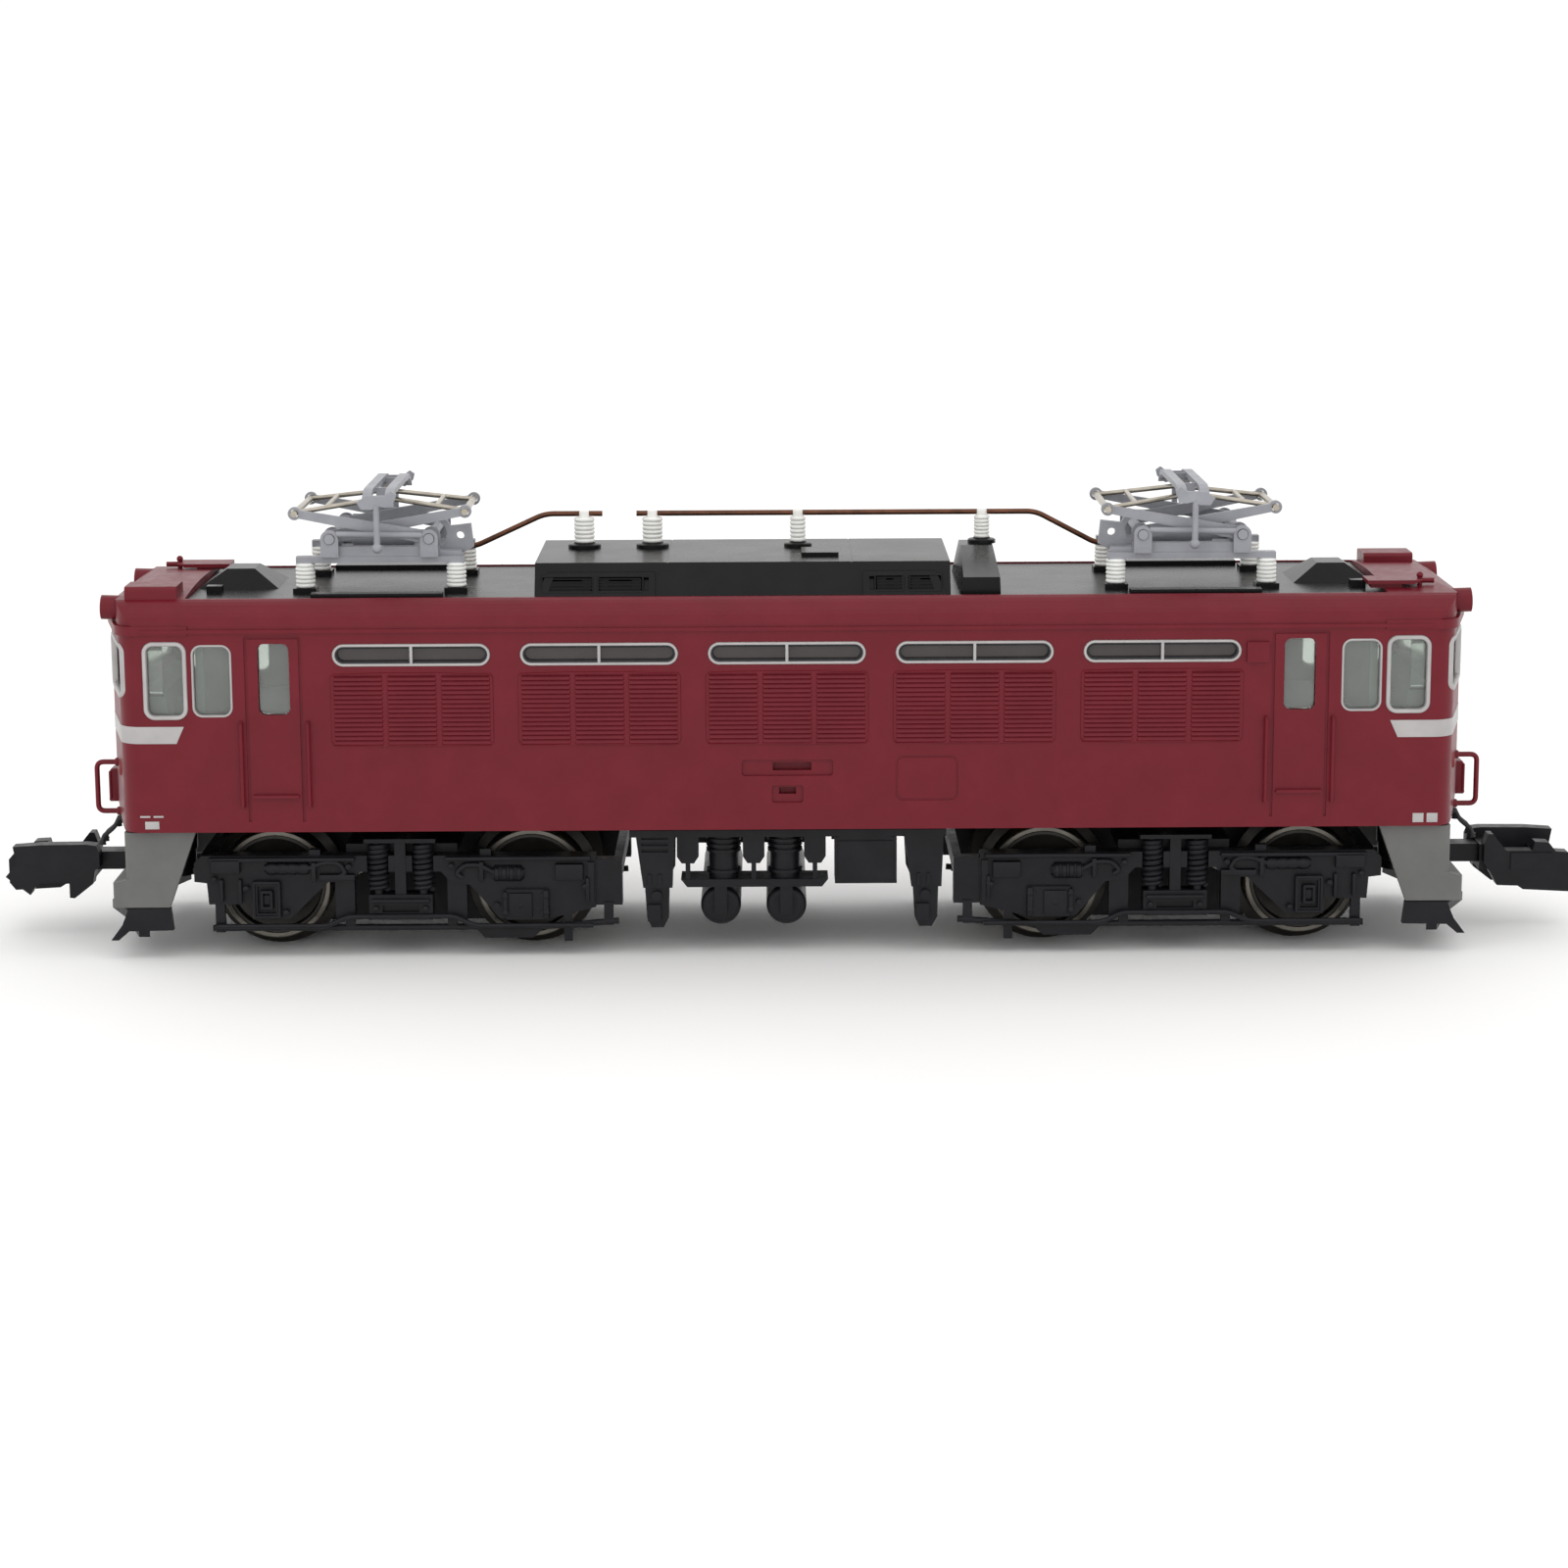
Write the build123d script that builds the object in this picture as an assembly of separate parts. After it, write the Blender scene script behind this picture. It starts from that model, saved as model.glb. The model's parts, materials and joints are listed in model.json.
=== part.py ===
from build123d import *
import os
from math import acos, atan2, cos, degrees, hypot, pi, radians, sin, tan

# A 1:150 model of a four-axle electric locomotive for 9 mm track.
# X runs along the track, Y across it and Z up.  Z = 0 is at the lowest point of the wheel
# flanges, and the origin is midway between the ends.  Lengths are millimetres.

# ---- running gear -----------------------------------------------------------------------
WHEELBASE = 16.67
BOGIE_X = 25.0
TREAD_R = 3.65
FLANGE_DEPTH = 0.70
BACK_TO_BACK = 7.40
FLANGE_WIDTH = 0.55
WHEEL_WIDTH = 2.20
AXLE_R = 0.75
AXLE_TIP_GAP = 0.35
RUNNING_GAP = 0.04
AXLE_Z = TREAD_R + FLANGE_DEPTH
WHEEL_INNER_Y = BACK_TO_BACK / 2
WHEEL_OUTER_Y = WHEEL_INNER_Y + WHEEL_WIDTH

# ---- gear train -------------------------------------------------------------------------
MODULE = 0.40
AXLE_TEETH = 12
IDLER_TEETH = 12
WORM_WHEEL_TEETH = 16
TOOTH_BACKLASH = 0.30
PRESSURE_ANGLE = 20.0
GEAR_WIDTH = 1.40
WORM_PITCH_R = 1.50
WORM_LENGTH = 5.6
WORM_TURNS = 4
WORM_WHEEL_Z = 9.0
ARBOR_R = 0.60

# ---- body -------------------------------------------------------------------------------
BODY_HALF_WIDTH = 9.33
BODY_BOTTOM_Z = 8.51
BODY_HALF_LENGTH = 43.9
NOSE_HALF_WIDTH = 3.0
NOSE_SWEEP = 14.0
CORNER_R = 1.5
SHOULDER_Z = 21.5
SHOULDER_R = 2.0
RIM_Y = 8.0
RIM_Z = 23.35
DECK_Z = 23.20
CROWN_Z = 23.75
WALL = 1.1
ROOF_END_LENGTH = 3.4
DECK_LIP = 0.18
DECK_DEPTH = 0.7
DECK_HALF_LENGTH = 38.3
TRIM_PROUD = 0.12

# ---- side windows and louvres -----------------------------------------------------------
BAY_PITCH = 11.92
BAY_COUNT = 5
PILL_LENGTH = 10.04
PILL_HEIGHT = 1.45
PILL_Z = 19.94
PILL_BORDER = 0.26
LOUVRE_LENGTH = 10.15
LOUVRE_LOW_Z = 14.1
LOUVRE_HIGH_Z = 18.75
LOUVRE_PANELS = 3
LOUVRE_SPLIT = 0.42
LOUVRE_SLATS = 15
LOUVRE_DEPTH = 0.2

# ---- cab --------------------------------------------------------------------------------
DOOR_INNER_X = 30.9
DOOR_OUTER_X = 34.35
DOOR_WINDOW = (31.6, 33.6, 16.1, 20.7)
REAR_CAB_WINDOW = (35.3, 37.75, 16.05, 20.6)
FRONT_CAB_WINDOW = (38.15, 40.85, 15.9, 20.8)
WINDSCREEN_Y = (3.5, 8.95)
WINDSCREEN_Z = (17.2, 20.7)
WINDOW_RADIUS = 0.45
FRAME_BORDER = 0.30
GLAZING_THICKNESS = 0.30

# ---- roof fittings ----------------------------------------------------------------------
HOOD_X = (-16.1, 10.5)
HOOD_BASE_Y = 7.0
HOOD_TOP_Y = 5.8
HOOD_TOP_Z = 25.3
BUS_Y = 1.9
BUS_Z = 27.55
BUS_R = 0.18
HEADLIGHT_Y = 6.4
HEADLIGHT_Z = 22.7
HEADLIGHT_R = 0.62
TAIL_LIGHT_Y = 6.9
TAIL_LIGHT_Z = 12.3
TAIL_LIGHT_R = 0.5
RISER_TOP_Z = DECK_Z + 0.42
PEDESTAL_TOP_Z = 25.5
BUS_POSTS = ((-13.3, 0.68, HOOD_TOP_Z), (-8.8, 0.68, HOOD_TOP_Z), (0.8, 0.52, HOOD_TOP_Z),
             (12.95, 0.52, PEDESTAL_TOP_Z))
BUS_POST_TOP = 27.3
BUS_FOOT_HEIGHT = 0.35

# ---- pantograph -------------------------------------------------------------------------
PANTO_X = 26.15
PANTO_INSULATOR_X = 4.87
PANTO_INSULATOR_Y = 4.23
PANTO_INSULATOR_R = 0.52
PANTO_PIVOT_X = 3.2
PANTO_PIVOT_Z = 26.8
KNEE_X = 5.45
KNEE_Z = 28.4
HEAD_PIVOT_Z = 29.15
ARM_OUTER_Y = 4.35
ARM_INNER_Y = 3.60
HEAD_HALF_WIDTH = 6.3
PIVOT_PIN_R = 0.22
PANTO_SHAFT_R = 0.32
WIRE_R = 0.16
PANTO_BAR_Z = (25.62, 26.25)
PANTO_FOOT_Z = 25.2
EAR_R = 0.57
EAR_HALF = 0.14
HEAD_FLOAT = 0.17

# ---- drive ------------------------------------------------------------------------------
MOTOR_HALF_LENGTH = 8.5
MOTOR_HALF_WIDTH = 5.0
MOTOR_HALF_HEIGHT = 4.9
FLYWHEEL_R = 4.3
FLYWHEEL_X = (10.6, 15.0)
SHAFT_R = 0.75
CHASSIS_HALF_LENGTH = 37.0
CHASSIS_HALF_WIDTH = 7.4
CHASSIS_BOTTOM_Z = 10.0
CHASSIS_TOP_Z = 18.8
PIVOT_COLLAR_R = 4.7
SCREW_R = 0.5

# ---- bogie ------------------------------------------------------------------------------
SIDEFRAME_Y = (6.75, 8.3)
BOGIE_OUTER = 13.3
BOGIE_INNER = 14.3
BEAM_Z = (4.95, 6.7)
PAD_PROUD = 0.25
STRETCHER = 0.55
SPRING_OFFSET = 1.45
SPRING_R = 0.65
SPRING_WIRE_R = 0.14
SPRING_Z = (4.2, 7.5)
SPRING_COILS = 9
SPRING_Y = -7.75
SPRING_ROOM = 0.1
SPRING_CORE_R = 0.3
CASE_INNER_Y = 0.95
CASE_OUTER_Y = 1.95

# ---- underframe -------------------------------------------------------------------------
TANK_X = (-4.35, -0.1)
TANK_R = 1.3
TANK_Z = 3.16
CYLINDER_X = (-4.15, -0.18)

# ---- end fittings -----------------------------------------------------------------------
SKIRT_Y = (8.15, 8.85)
SKIRT_FRONT_X = 42.6
COUPLER_PIVOT_X = 40.6
COUPLER_Z = 4.9
COUPLER_PIN_R = 0.55
COUPLER_TIP_X = 52.15
HANDRAIL_Y = 4.2
HANDRAIL_X = 45.0
HOSE_R = 0.15

ENDS = (-1, 1)


# ---- shape helpers ----------------------------------------------------------------------
def block(x_low, x_high, y_low, y_high, z_low, z_high):
    """A box between two corners."""
    size = (x_high - x_low, y_high - y_low, z_high - z_low)
    middle = ((x_low + x_high) / 2, (y_low + y_high) / 2, (z_low + z_high) / 2)
    return Pos(*middle) * Box(*size)


def prism(points, direction):
    """A polygon given by 3-D points, extruded along a vector."""
    vector = Vector(*direction)
    return extrude(make_face(Polyline(*points, close=True).edges()), amount=vector.length, dir=vector)


def prism_y(outline, y_low, y_high):
    """An (x, z) outline extruded across the model."""
    return prism([(x, y_low, z) for x, z in outline], (0, y_high - y_low, 0))


def prism_x(outline, x_low, x_high):
    """A (y, z) outline extruded along the model."""
    return prism([(x_low, y, z) for y, z in outline], (x_high - x_low, 0, 0))


def prism_z(outline, z_low, z_high):
    """An (x, y) outline extruded upwards."""
    return prism([(x, y, z_low) for x, y in outline], (0, 0, z_high - z_low))


def rod(start, end, radius):
    """A round bar between two points."""
    first = Vector(*start)
    last = Vector(*end)
    axis = last - first
    return Plane(origin=(first + last) / 2, z_dir=axis) * Cylinder(radius, axis.length)


def wire(points, radius):
    """Round bars through a list of points, with a ball at each bend."""
    bars = [rod(a, b, radius) for a, b in zip(points, points[1:])]
    balls = [Pos(*point) * Sphere(radius) for point in points[1:-1]]
    return fused(bars + balls)


def tube_z(x, y, z_low, z_high, radius):
    return rod((x, y, z_low), (x, y, z_high), radius)


def fused(shapes):
    """One part from a list of touching or overlapping shapes."""
    first, *others = shapes
    return first.fuse(*others) if others else first


def grouped(shapes):
    """Separate solids kept in one node."""
    return Compound(children=[solid for shape in shapes for solid in shape.solids()])


def pane_y(window, y_low, y_high, grow=0.0, radius=WINDOW_RADIUS):
    """A rounded rectangle in the side plane, given as (x low, x high, z low, z high)."""
    x_low, x_high, z_low, z_high = window
    width = x_high - x_low + 2 * grow
    height = z_high - z_low + 2 * grow
    corner = min(radius + grow, 0.49 * min(width, height))
    middle = ((x_low + x_high) / 2, y_low, (z_low + z_high) / 2)
    face = Plane(origin=middle, x_dir=(1, 0, 0), z_dir=(0, 1, 0)) * RectangleRounded(width, height, corner)
    return extrude(face, amount=y_high - y_low)


def pane_x(y_range, z_range, x_low, x_high, grow=0.0):
    """A rounded rectangle facing along the model."""
    width = y_range[1] - y_range[0] + 2 * grow
    height = z_range[1] - z_range[0] + 2 * grow
    middle = (x_low, sum(y_range) / 2, sum(z_range) / 2)
    face = Plane(origin=middle, x_dir=(0, 1, 0), z_dir=(1, 0, 0)) * RectangleRounded(
        width, height, WINDOW_RADIUS + grow
    )
    return extrude(face, amount=x_high - x_low)


def both_sides(shape):
    """The shape and its mirror image across the centre line."""
    return [shape, mirror(shape, about=Plane.XZ)]


def both_ends(shape):
    """The shape and its mirror image at the other end."""
    return [shape, mirror(shape, about=Plane.YZ)]


def four_corners(shape):
    return [copy for half in both_ends(shape) for copy in both_sides(half)]


def turned_pair(shape):
    """The shape and its copy turned half a turn about the vertical."""
    return [shape, Rot(0, 0, 180) * shape]


def save(name, shape):
    os.makedirs("parts", exist_ok=True)
    export_step(shape, f"parts/{name}.step")


# ---- body shell -------------------------------------------------------------------------
def plan_solid(inset, z_low, z_high):
    """The plan outline of the body, drawn in by inset, as a prism."""
    side = BODY_HALF_WIDTH - inset
    nose = BODY_HALF_LENGTH - inset
    nose_y = NOSE_HALF_WIDTH
    cheek = nose - (side - nose_y) * tan(radians(NOSE_SWEEP))
    outline = [(nose, -nose_y), (nose, nose_y), (cheek, side), (-cheek, side)]
    outline += [(-nose, nose_y), (-nose, -nose_y), (-cheek, -side), (cheek, -side)]
    solid = prism_z(outline, z_low, z_high)
    corners = [edge for edge in solid.edges().filter_by(Axis.Z) if abs(edge.center().Y) > nose_y + 1]
    return fillet(corners, max(CORNER_R - inset, 0.3))


def roof_section(inset):
    """The cross-section: upright sides, a round shoulder and a low crown."""
    side = BODY_HALF_WIDTH - inset
    radius = SHOULDER_R - inset
    shoulder_angle = acos((RIM_Y - BODY_HALF_WIDTH + SHOULDER_R) / SHOULDER_R)
    steps = 8
    centre_y = BODY_HALF_WIDTH - SHOULDER_R
    outline = [(side, BODY_BOTTOM_Z - 5)]
    for step in range(steps + 1):
        angle = shoulder_angle * step / steps
        outline.append((centre_y + radius * cos(angle), SHOULDER_Z + radius * sin(angle)))
    rise = CROWN_Z - inset - outline[-1][1]
    half = outline[-1][0]
    for step in range(1, 6):
        y = half * (1 - step / 6)
        outline.append((y, outline[9][1] + rise * (1 - (y / half) ** 2)))
    mirrored = [(-y, z) for y, z in reversed(outline)]
    return prism_x(outline + [(0, CROWN_Z - inset)] + mirrored, -60, 60)


def end_profile(inset):
    """The side view: a lower front corner and a roof end that rounds down to the windscreen."""
    low = BODY_BOTTOM_Z
    eave_z = SHOULDER_Z + 0.1
    drop = CROWN_Z - eave_z
    roof_end = [(BODY_HALF_LENGTH + 0.3 - inset, eave_z - inset)]
    steps = 8
    for step in range(1, steps + 1):
        angle = pi / 2 * step / steps
        x = BODY_HALF_LENGTH + 0.3 - ROOF_END_LENGTH * (1 - cos(angle))
        roof_end.append((x - inset, eave_z + drop * sin(angle) - inset))
    base = [(BODY_HALF_LENGTH - 0.9 - inset, low - 5), (BODY_HALF_LENGTH - 0.9 - inset, low)]
    base += [(BODY_HALF_LENGTH - 0.35 - inset, low + 0.45), (BODY_HALF_LENGTH + 0.3 - inset, low + 1.4)]
    right = base + roof_end
    left = [(-x, z) for x, z in reversed(right)]
    return prism_y(right + left, -20, 20)


def body_hull(inset, z_low, z_high):
    return plan_solid(inset, z_low, z_high) & roof_section(inset) & end_profile(inset)


def side_windows():
    """The pill-shaped windows as (x low, x high, z low, z high)."""
    spots = [(index - (BAY_COUNT - 1) / 2) * BAY_PITCH for index in range(BAY_COUNT)]
    half = PILL_LENGTH / 2
    rise = PILL_HEIGHT / 2
    return [(x - half, x + half, PILL_Z - rise, PILL_Z + rise) for x in spots]


def louvre_grooves(centre_x):
    """Sloping slots between the slats of one louvre bay on the near side."""
    grooves = []
    panel = (LOUVRE_LENGTH - 0.3 - (LOUVRE_PANELS - 1) * LOUVRE_SPLIT) / LOUVRE_PANELS
    pitch = (LOUVRE_HIGH_Z - LOUVRE_LOW_Z - 0.3) / LOUVRE_SLATS
    face = -BODY_HALF_WIDTH
    for column in range(LOUVRE_PANELS):
        left = centre_x - LOUVRE_LENGTH / 2 + 0.15 + column * (panel + LOUVRE_SPLIT)
        for row in range(LOUVRE_SLATS):
            low = LOUVRE_LOW_Z + 0.15 + row * pitch
            groove = [(face - 0.1, low), (face + LOUVRE_DEPTH, low), (face - 0.1, low + pitch * 0.85)]
            grooves.append(prism_x(groove, left, left + panel))
    return grooves


def body_cuts():
    """Window openings, louvres, recesses and door lines on the near side."""
    face = -BODY_HALF_WIDTH
    cuts = [pane_y(window, face - 1, face + WALL + 1, radius=0.72) for window in side_windows()]
    for window in (DOOR_WINDOW, REAR_CAB_WINDOW, FRONT_CAB_WINDOW):
        cuts += both_ends(pane_y(window, face - 1, face + WALL + 1))
    for index in range(BAY_COUNT):
        cuts += louvre_grooves((index - (BAY_COUNT - 1) / 2) * BAY_PITCH)
    for recess in ((-2.92, 2.92, 12.0, 13.05), (-1.0, 1.0, 10.25, 11.4)):
        cuts.append(pane_y(recess, face - 1, face + 0.18, radius=0.2))
    cuts.append(block(-0.94, 1.53, face - 1, face + 0.7, 12.33, 12.86))
    cuts.append(block(-0.55, 0.55, face - 1, face + 0.7, 10.8, 11.25))
    groove = 0.10
    for x in (DOOR_INNER_X, DOOR_OUTER_X):
        cuts += both_ends(block(x - groove, x + groove, face - 1, face + groove, 9.2, 21.1))
    cuts += both_ends(block(DOOR_INNER_X, DOOR_OUTER_X, face - 1, face + groove, 21.0, 21.2))
    hatch = pane_y((6.9, 10.9, 10.36, 13.3), face - 1, face + 0.06, radius=0.5)
    cuts.append(hatch - pane_y((7.05, 10.75, 10.51, 13.15), face - 1, face + 0.06, radius=0.4))
    return cuts


def nose_cuts():
    """Windscreen openings, the gangway door lines and the lamp seats at the +X end."""
    reach = BODY_HALF_LENGTH
    cuts = both_sides(pane_x(WINDSCREEN_Y, WINDSCREEN_Z, reach - 4.2, reach + 2))
    for y in (-2.3, 2.3):
        cuts.append(block(reach - 0.12, reach + 1, y - 0.08, y + 0.08, 9.4, 20.8))
    cuts.append(block(reach - 0.12, reach + 1, -2.3, 2.3, 20.7, 20.86))
    cuts.append(pane_x((-1.5, 1.5), WINDSCREEN_Z, reach - 3, reach + 2))
    for y in (-TAIL_LIGHT_Y, TAIL_LIGHT_Y):
        cuts.append(rod((reach - 3, y, TAIL_LIGHT_Z), (reach + 2, y, TAIL_LIGHT_Z), TAIL_LIGHT_R))
    return cuts


def make_body_shell():
    outer = body_hull(0.0, BODY_BOTTOM_Z, 30)
    eave = plan_solid(-0.22, 21.25, 21.85) & roof_section(-0.1) & block(38, 60, -20, 20, 20, 22)
    gutter = block(-41.0, 41.0, -BODY_HALF_WIDTH - 0.14, -BODY_HALF_WIDTH + 0.3, 21.38, 21.62)
    additions = both_ends(eave) + both_sides(gutter)
    inner = body_hull(WALL, BODY_BOTTOM_Z - 3, 30)
    deck_room = block(-DECK_HALF_LENGTH, DECK_HALF_LENGTH, -RIM_Y + DECK_LIP, RIM_Y - DECK_LIP,
                      DECK_Z - DECK_DEPTH, 30)
    details = []
    face = BODY_HALF_WIDTH
    step = block(31.2, 34.1, face - 0.2, face + 0.25, 10.75, 10.95)
    handle = rod((34.75, face + 0.3, 10.2), (34.75, face + 0.3, 15.6), 0.12)
    stays = [rod((34.75, face - 0.2, z), (34.75, face + 0.3, z), 0.12) for z in (10.2, 15.6)]
    door_rail = rod((30.5, face + 0.3, 10.2), (30.5, face + 0.3, 15.6), 0.12)
    rail_stays = [rod((30.5, face - 0.2, z), (30.5, face + 0.3, z), 0.12) for z in (10.2, 15.6)]
    for piece in [step, handle, *stays, door_rail, *rail_stays]:
        details += four_corners(piece)
    cap = block(29.2, 30.6, -face - 0.22, -face + 0.2, 19.2, 20.5)
    details += turned_pair(cap)
    rivets = []
    rivet_count = 26
    for index in range(rivet_count):
        x = -37 + 74 * index / (rivet_count - 1)
        rivets.append(Pos(x, RIM_Y - 0.02, RIM_Z - 0.06) * Sphere(0.11))
    cowls, seats = headlight_cowls()
    shell = fused([outer, *additions, *details, *cowls])
    shell = shell - inner - deck_room
    near = body_cuts()
    cuts = near + [mirror(cut, about=Plane.XZ) for cut in near]
    nose = nose_cuts()
    cuts += nose + [mirror(cut, about=Plane.YZ) for cut in nose] + seats
    shell = shell.cut(*cuts)
    return shell.fuse(*[copy for rivet in rivets for copy in both_sides(rivet)])


# ---- windows ----------------------------------------------------------------------------
def make_side_window_frames():
    """Bright pill frames with one mullion, proud of both sides."""
    face = -BODY_HALF_WIDTH
    frames = []
    for window in side_windows():
        ring = pane_y(window, face - TRIM_PROUD, face + 0.35, radius=0.72)
        ring -= pane_y(window, face - 1, face + 1, grow=-PILL_BORDER, radius=0.72)
        middle = (window[0] + window[1]) / 2
        mullion = block(middle - 0.13, middle + 0.13, face - TRIM_PROUD, face + 0.35,
                        window[2] + 0.1, window[3] - 0.1)
        frames += both_sides(ring + mullion)
    return grouped(frames)


def make_side_window_glazing():
    face = -BODY_HALF_WIDTH + 0.37
    panes = []
    for window in side_windows():
        panes += both_sides(pane_y(window, face, face + GLAZING_THICKNESS, grow=-0.03, radius=0.72))
    return grouped(panes)


def windscreen_skin(proud, depth):
    """The part of the nose skin that the windscreen trim follows."""
    skin = plan_solid(-proud, WINDSCREEN_Z[0] - 1, WINDSCREEN_Z[1] + 1)
    skin -= plan_solid(depth, WINDSCREEN_Z[0] - 2, WINDSCREEN_Z[1] + 2)
    return skin & block(BODY_HALF_LENGTH - 4.2, BODY_HALF_LENGTH + 2, -20, 20, 10, 30)


def make_cab_window_frames():
    """The bright rings of the forward cab windows and of the windscreens."""
    face = -BODY_HALF_WIDTH
    window = FRONT_CAB_WINDOW
    ring = pane_y(window, face - TRIM_PROUD, face + 0.35)
    ring -= pane_y(window, face - 1, face + 1, grow=-FRAME_BORDER)
    frames = four_corners(ring)
    slim = pane_y(REAR_CAB_WINDOW, face - 0.04, face + 0.35)
    slim -= pane_y(REAR_CAB_WINDOW, face - 1, face + 1, grow=-0.1)
    frames += four_corners(slim)
    skin = windscreen_skin(TRIM_PROUD, 0.35)
    reach = BODY_HALF_LENGTH
    for y_range, shapes in ((WINDSCREEN_Y, four_corners), ((-1.5, 1.5), both_ends)):
        outer = pane_x(y_range, WINDSCREEN_Z, reach - 4.2, reach + 2)
        inner = pane_x(y_range, WINDSCREEN_Z, reach - 5, reach + 3, grow=-0.28)
        frames += shapes((skin & outer) - inner)
    return grouped(frames)


def make_cab_window_glazing():
    face = -BODY_HALF_WIDTH + 0.37
    panes = []
    for window in (DOOR_WINDOW, REAR_CAB_WINDOW, FRONT_CAB_WINDOW):
        panes += four_corners(pane_y(window, face, face + GLAZING_THICKNESS, grow=-0.03))
    skin = windscreen_skin(-0.38, 0.38 + GLAZING_THICKNESS)
    reach = BODY_HALF_LENGTH
    for y_range, shapes in ((WINDSCREEN_Y, four_corners), ((-1.5, 1.5), both_ends)):
        outer = pane_x(y_range, WINDSCREEN_Z, reach - 4.2, reach + 2, grow=-0.03)
        panes += shapes(skin & outer)
    return grouped(panes)


def make_cab_interiors():
    """Floor, bulkhead, driver's desk and seats in each cab."""
    floor_z = 15.2
    back_x = CHASSIS_HALF_LENGTH + 0.3
    front_x = BODY_HALF_LENGTH - 2.6
    floor = block(back_x - 6.0, front_x, -6.4, 6.4, floor_z - 0.6, floor_z)
    floor -= block(0, back_x, -CHASSIS_HALF_WIDTH - 1, CHASSIS_HALF_WIDTH + 1, 0, CHASSIS_TOP_Z + 0.2)
    bulkhead = block(back_x, back_x + 0.5, -7.4, 7.4, floor_z - 0.1, 20.8)
    desk = prism_y([(front_x, floor_z - 0.1), (front_x, 17.3), (front_x - 1.2, 17.0),
                    (front_x - 1.5, floor_z - 0.1)], -6.0, 6.0)
    pieces = [floor, bulkhead, desk]
    for y in (-3.8, 3.8):
        pieces.append(block(back_x + 1.0, back_x + 2.4, y - 0.9, y + 0.9, floor_z - 0.1, 16.3))
        pieces.append(block(back_x + 0.9, back_x + 1.25, y - 0.9, y + 0.9, floor_z, 18.3))
    return grouped(both_ends(fused(pieces)))


# ---- lamps ------------------------------------------------------------------------------
def headlight_cowls():
    """Round lamp cowls that stand out of the sloping roof ends."""
    reach = BODY_HALF_LENGTH - 0.05
    cowl = rod((reach - 3.2, HEADLIGHT_Y, HEADLIGHT_Z - 0.1), (reach, HEADLIGHT_Y, HEADLIGHT_Z),
               HEADLIGHT_R + 0.16)
    seat = rod((reach - 0.5, HEADLIGHT_Y, HEADLIGHT_Z), (reach + 1, HEADLIGHT_Y, HEADLIGHT_Z), HEADLIGHT_R)
    return four_corners(cowl), four_corners(seat)


def make_headlight_lenses():
    """Domed lenses set in the lamp cowls."""
    reach = BODY_HALF_LENGTH - 0.05
    lens = rod((reach - 0.5, HEADLIGHT_Y, HEADLIGHT_Z), (reach - 0.05, HEADLIGHT_Y, HEADLIGHT_Z),
               HEADLIGHT_R - 0.02)
    front = lens.edges().sort_by(Axis.X)[-1]
    return grouped(four_corners(fillet(front, 0.25)))


def make_tail_light_lenses():
    cheek = BODY_HALF_LENGTH - (TAIL_LIGHT_Y - NOSE_HALF_WIDTH) * tan(radians(NOSE_SWEEP))
    body = rod((cheek - 0.9, TAIL_LIGHT_Y, TAIL_LIGHT_Z), (cheek + 0.05, TAIL_LIGHT_Y, TAIL_LIGHT_Z),
               TAIL_LIGHT_R - 0.03)
    return grouped(four_corners(body))


# ---- roof -------------------------------------------------------------------------------
def make_roof_deck():
    """The black roof panel with its walkway strips and insulator risers."""
    half_y = RIM_Y - DECK_LIP - 0.04
    half_x = DECK_HALF_LENGTH - 0.05
    deck = block(-half_x, half_x, -half_y, half_y, DECK_Z - DECK_DEPTH, DECK_Z + 0.1)
    top = DECK_Z + 0.1
    pieces = [deck]
    for end in ENDS:
        centre = end * PANTO_X
        for side in ENDS:
            y = side * 6.9
            pieces.append(block(centre - 4.2, centre + 4.2, y - 0.5, y + 0.5, top - 0.1, top + 0.3))
            for x in (centre - PANTO_INSULATOR_X, centre + PANTO_INSULATOR_X):
                y_riser = side * PANTO_INSULATOR_Y
                pieces.append(block(x - 0.75, x + 0.75, y_riser - 0.75, y_riser + 0.75, top - 0.1,
                                    RISER_TOP_Z))
    for end in ENDS:
        pieces.append(block(end * 36.9 - 0.5, end * 36.9 + 0.5, -4.6, -3.8, top - 0.1, top + 0.45))
    return fused(pieces)


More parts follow.
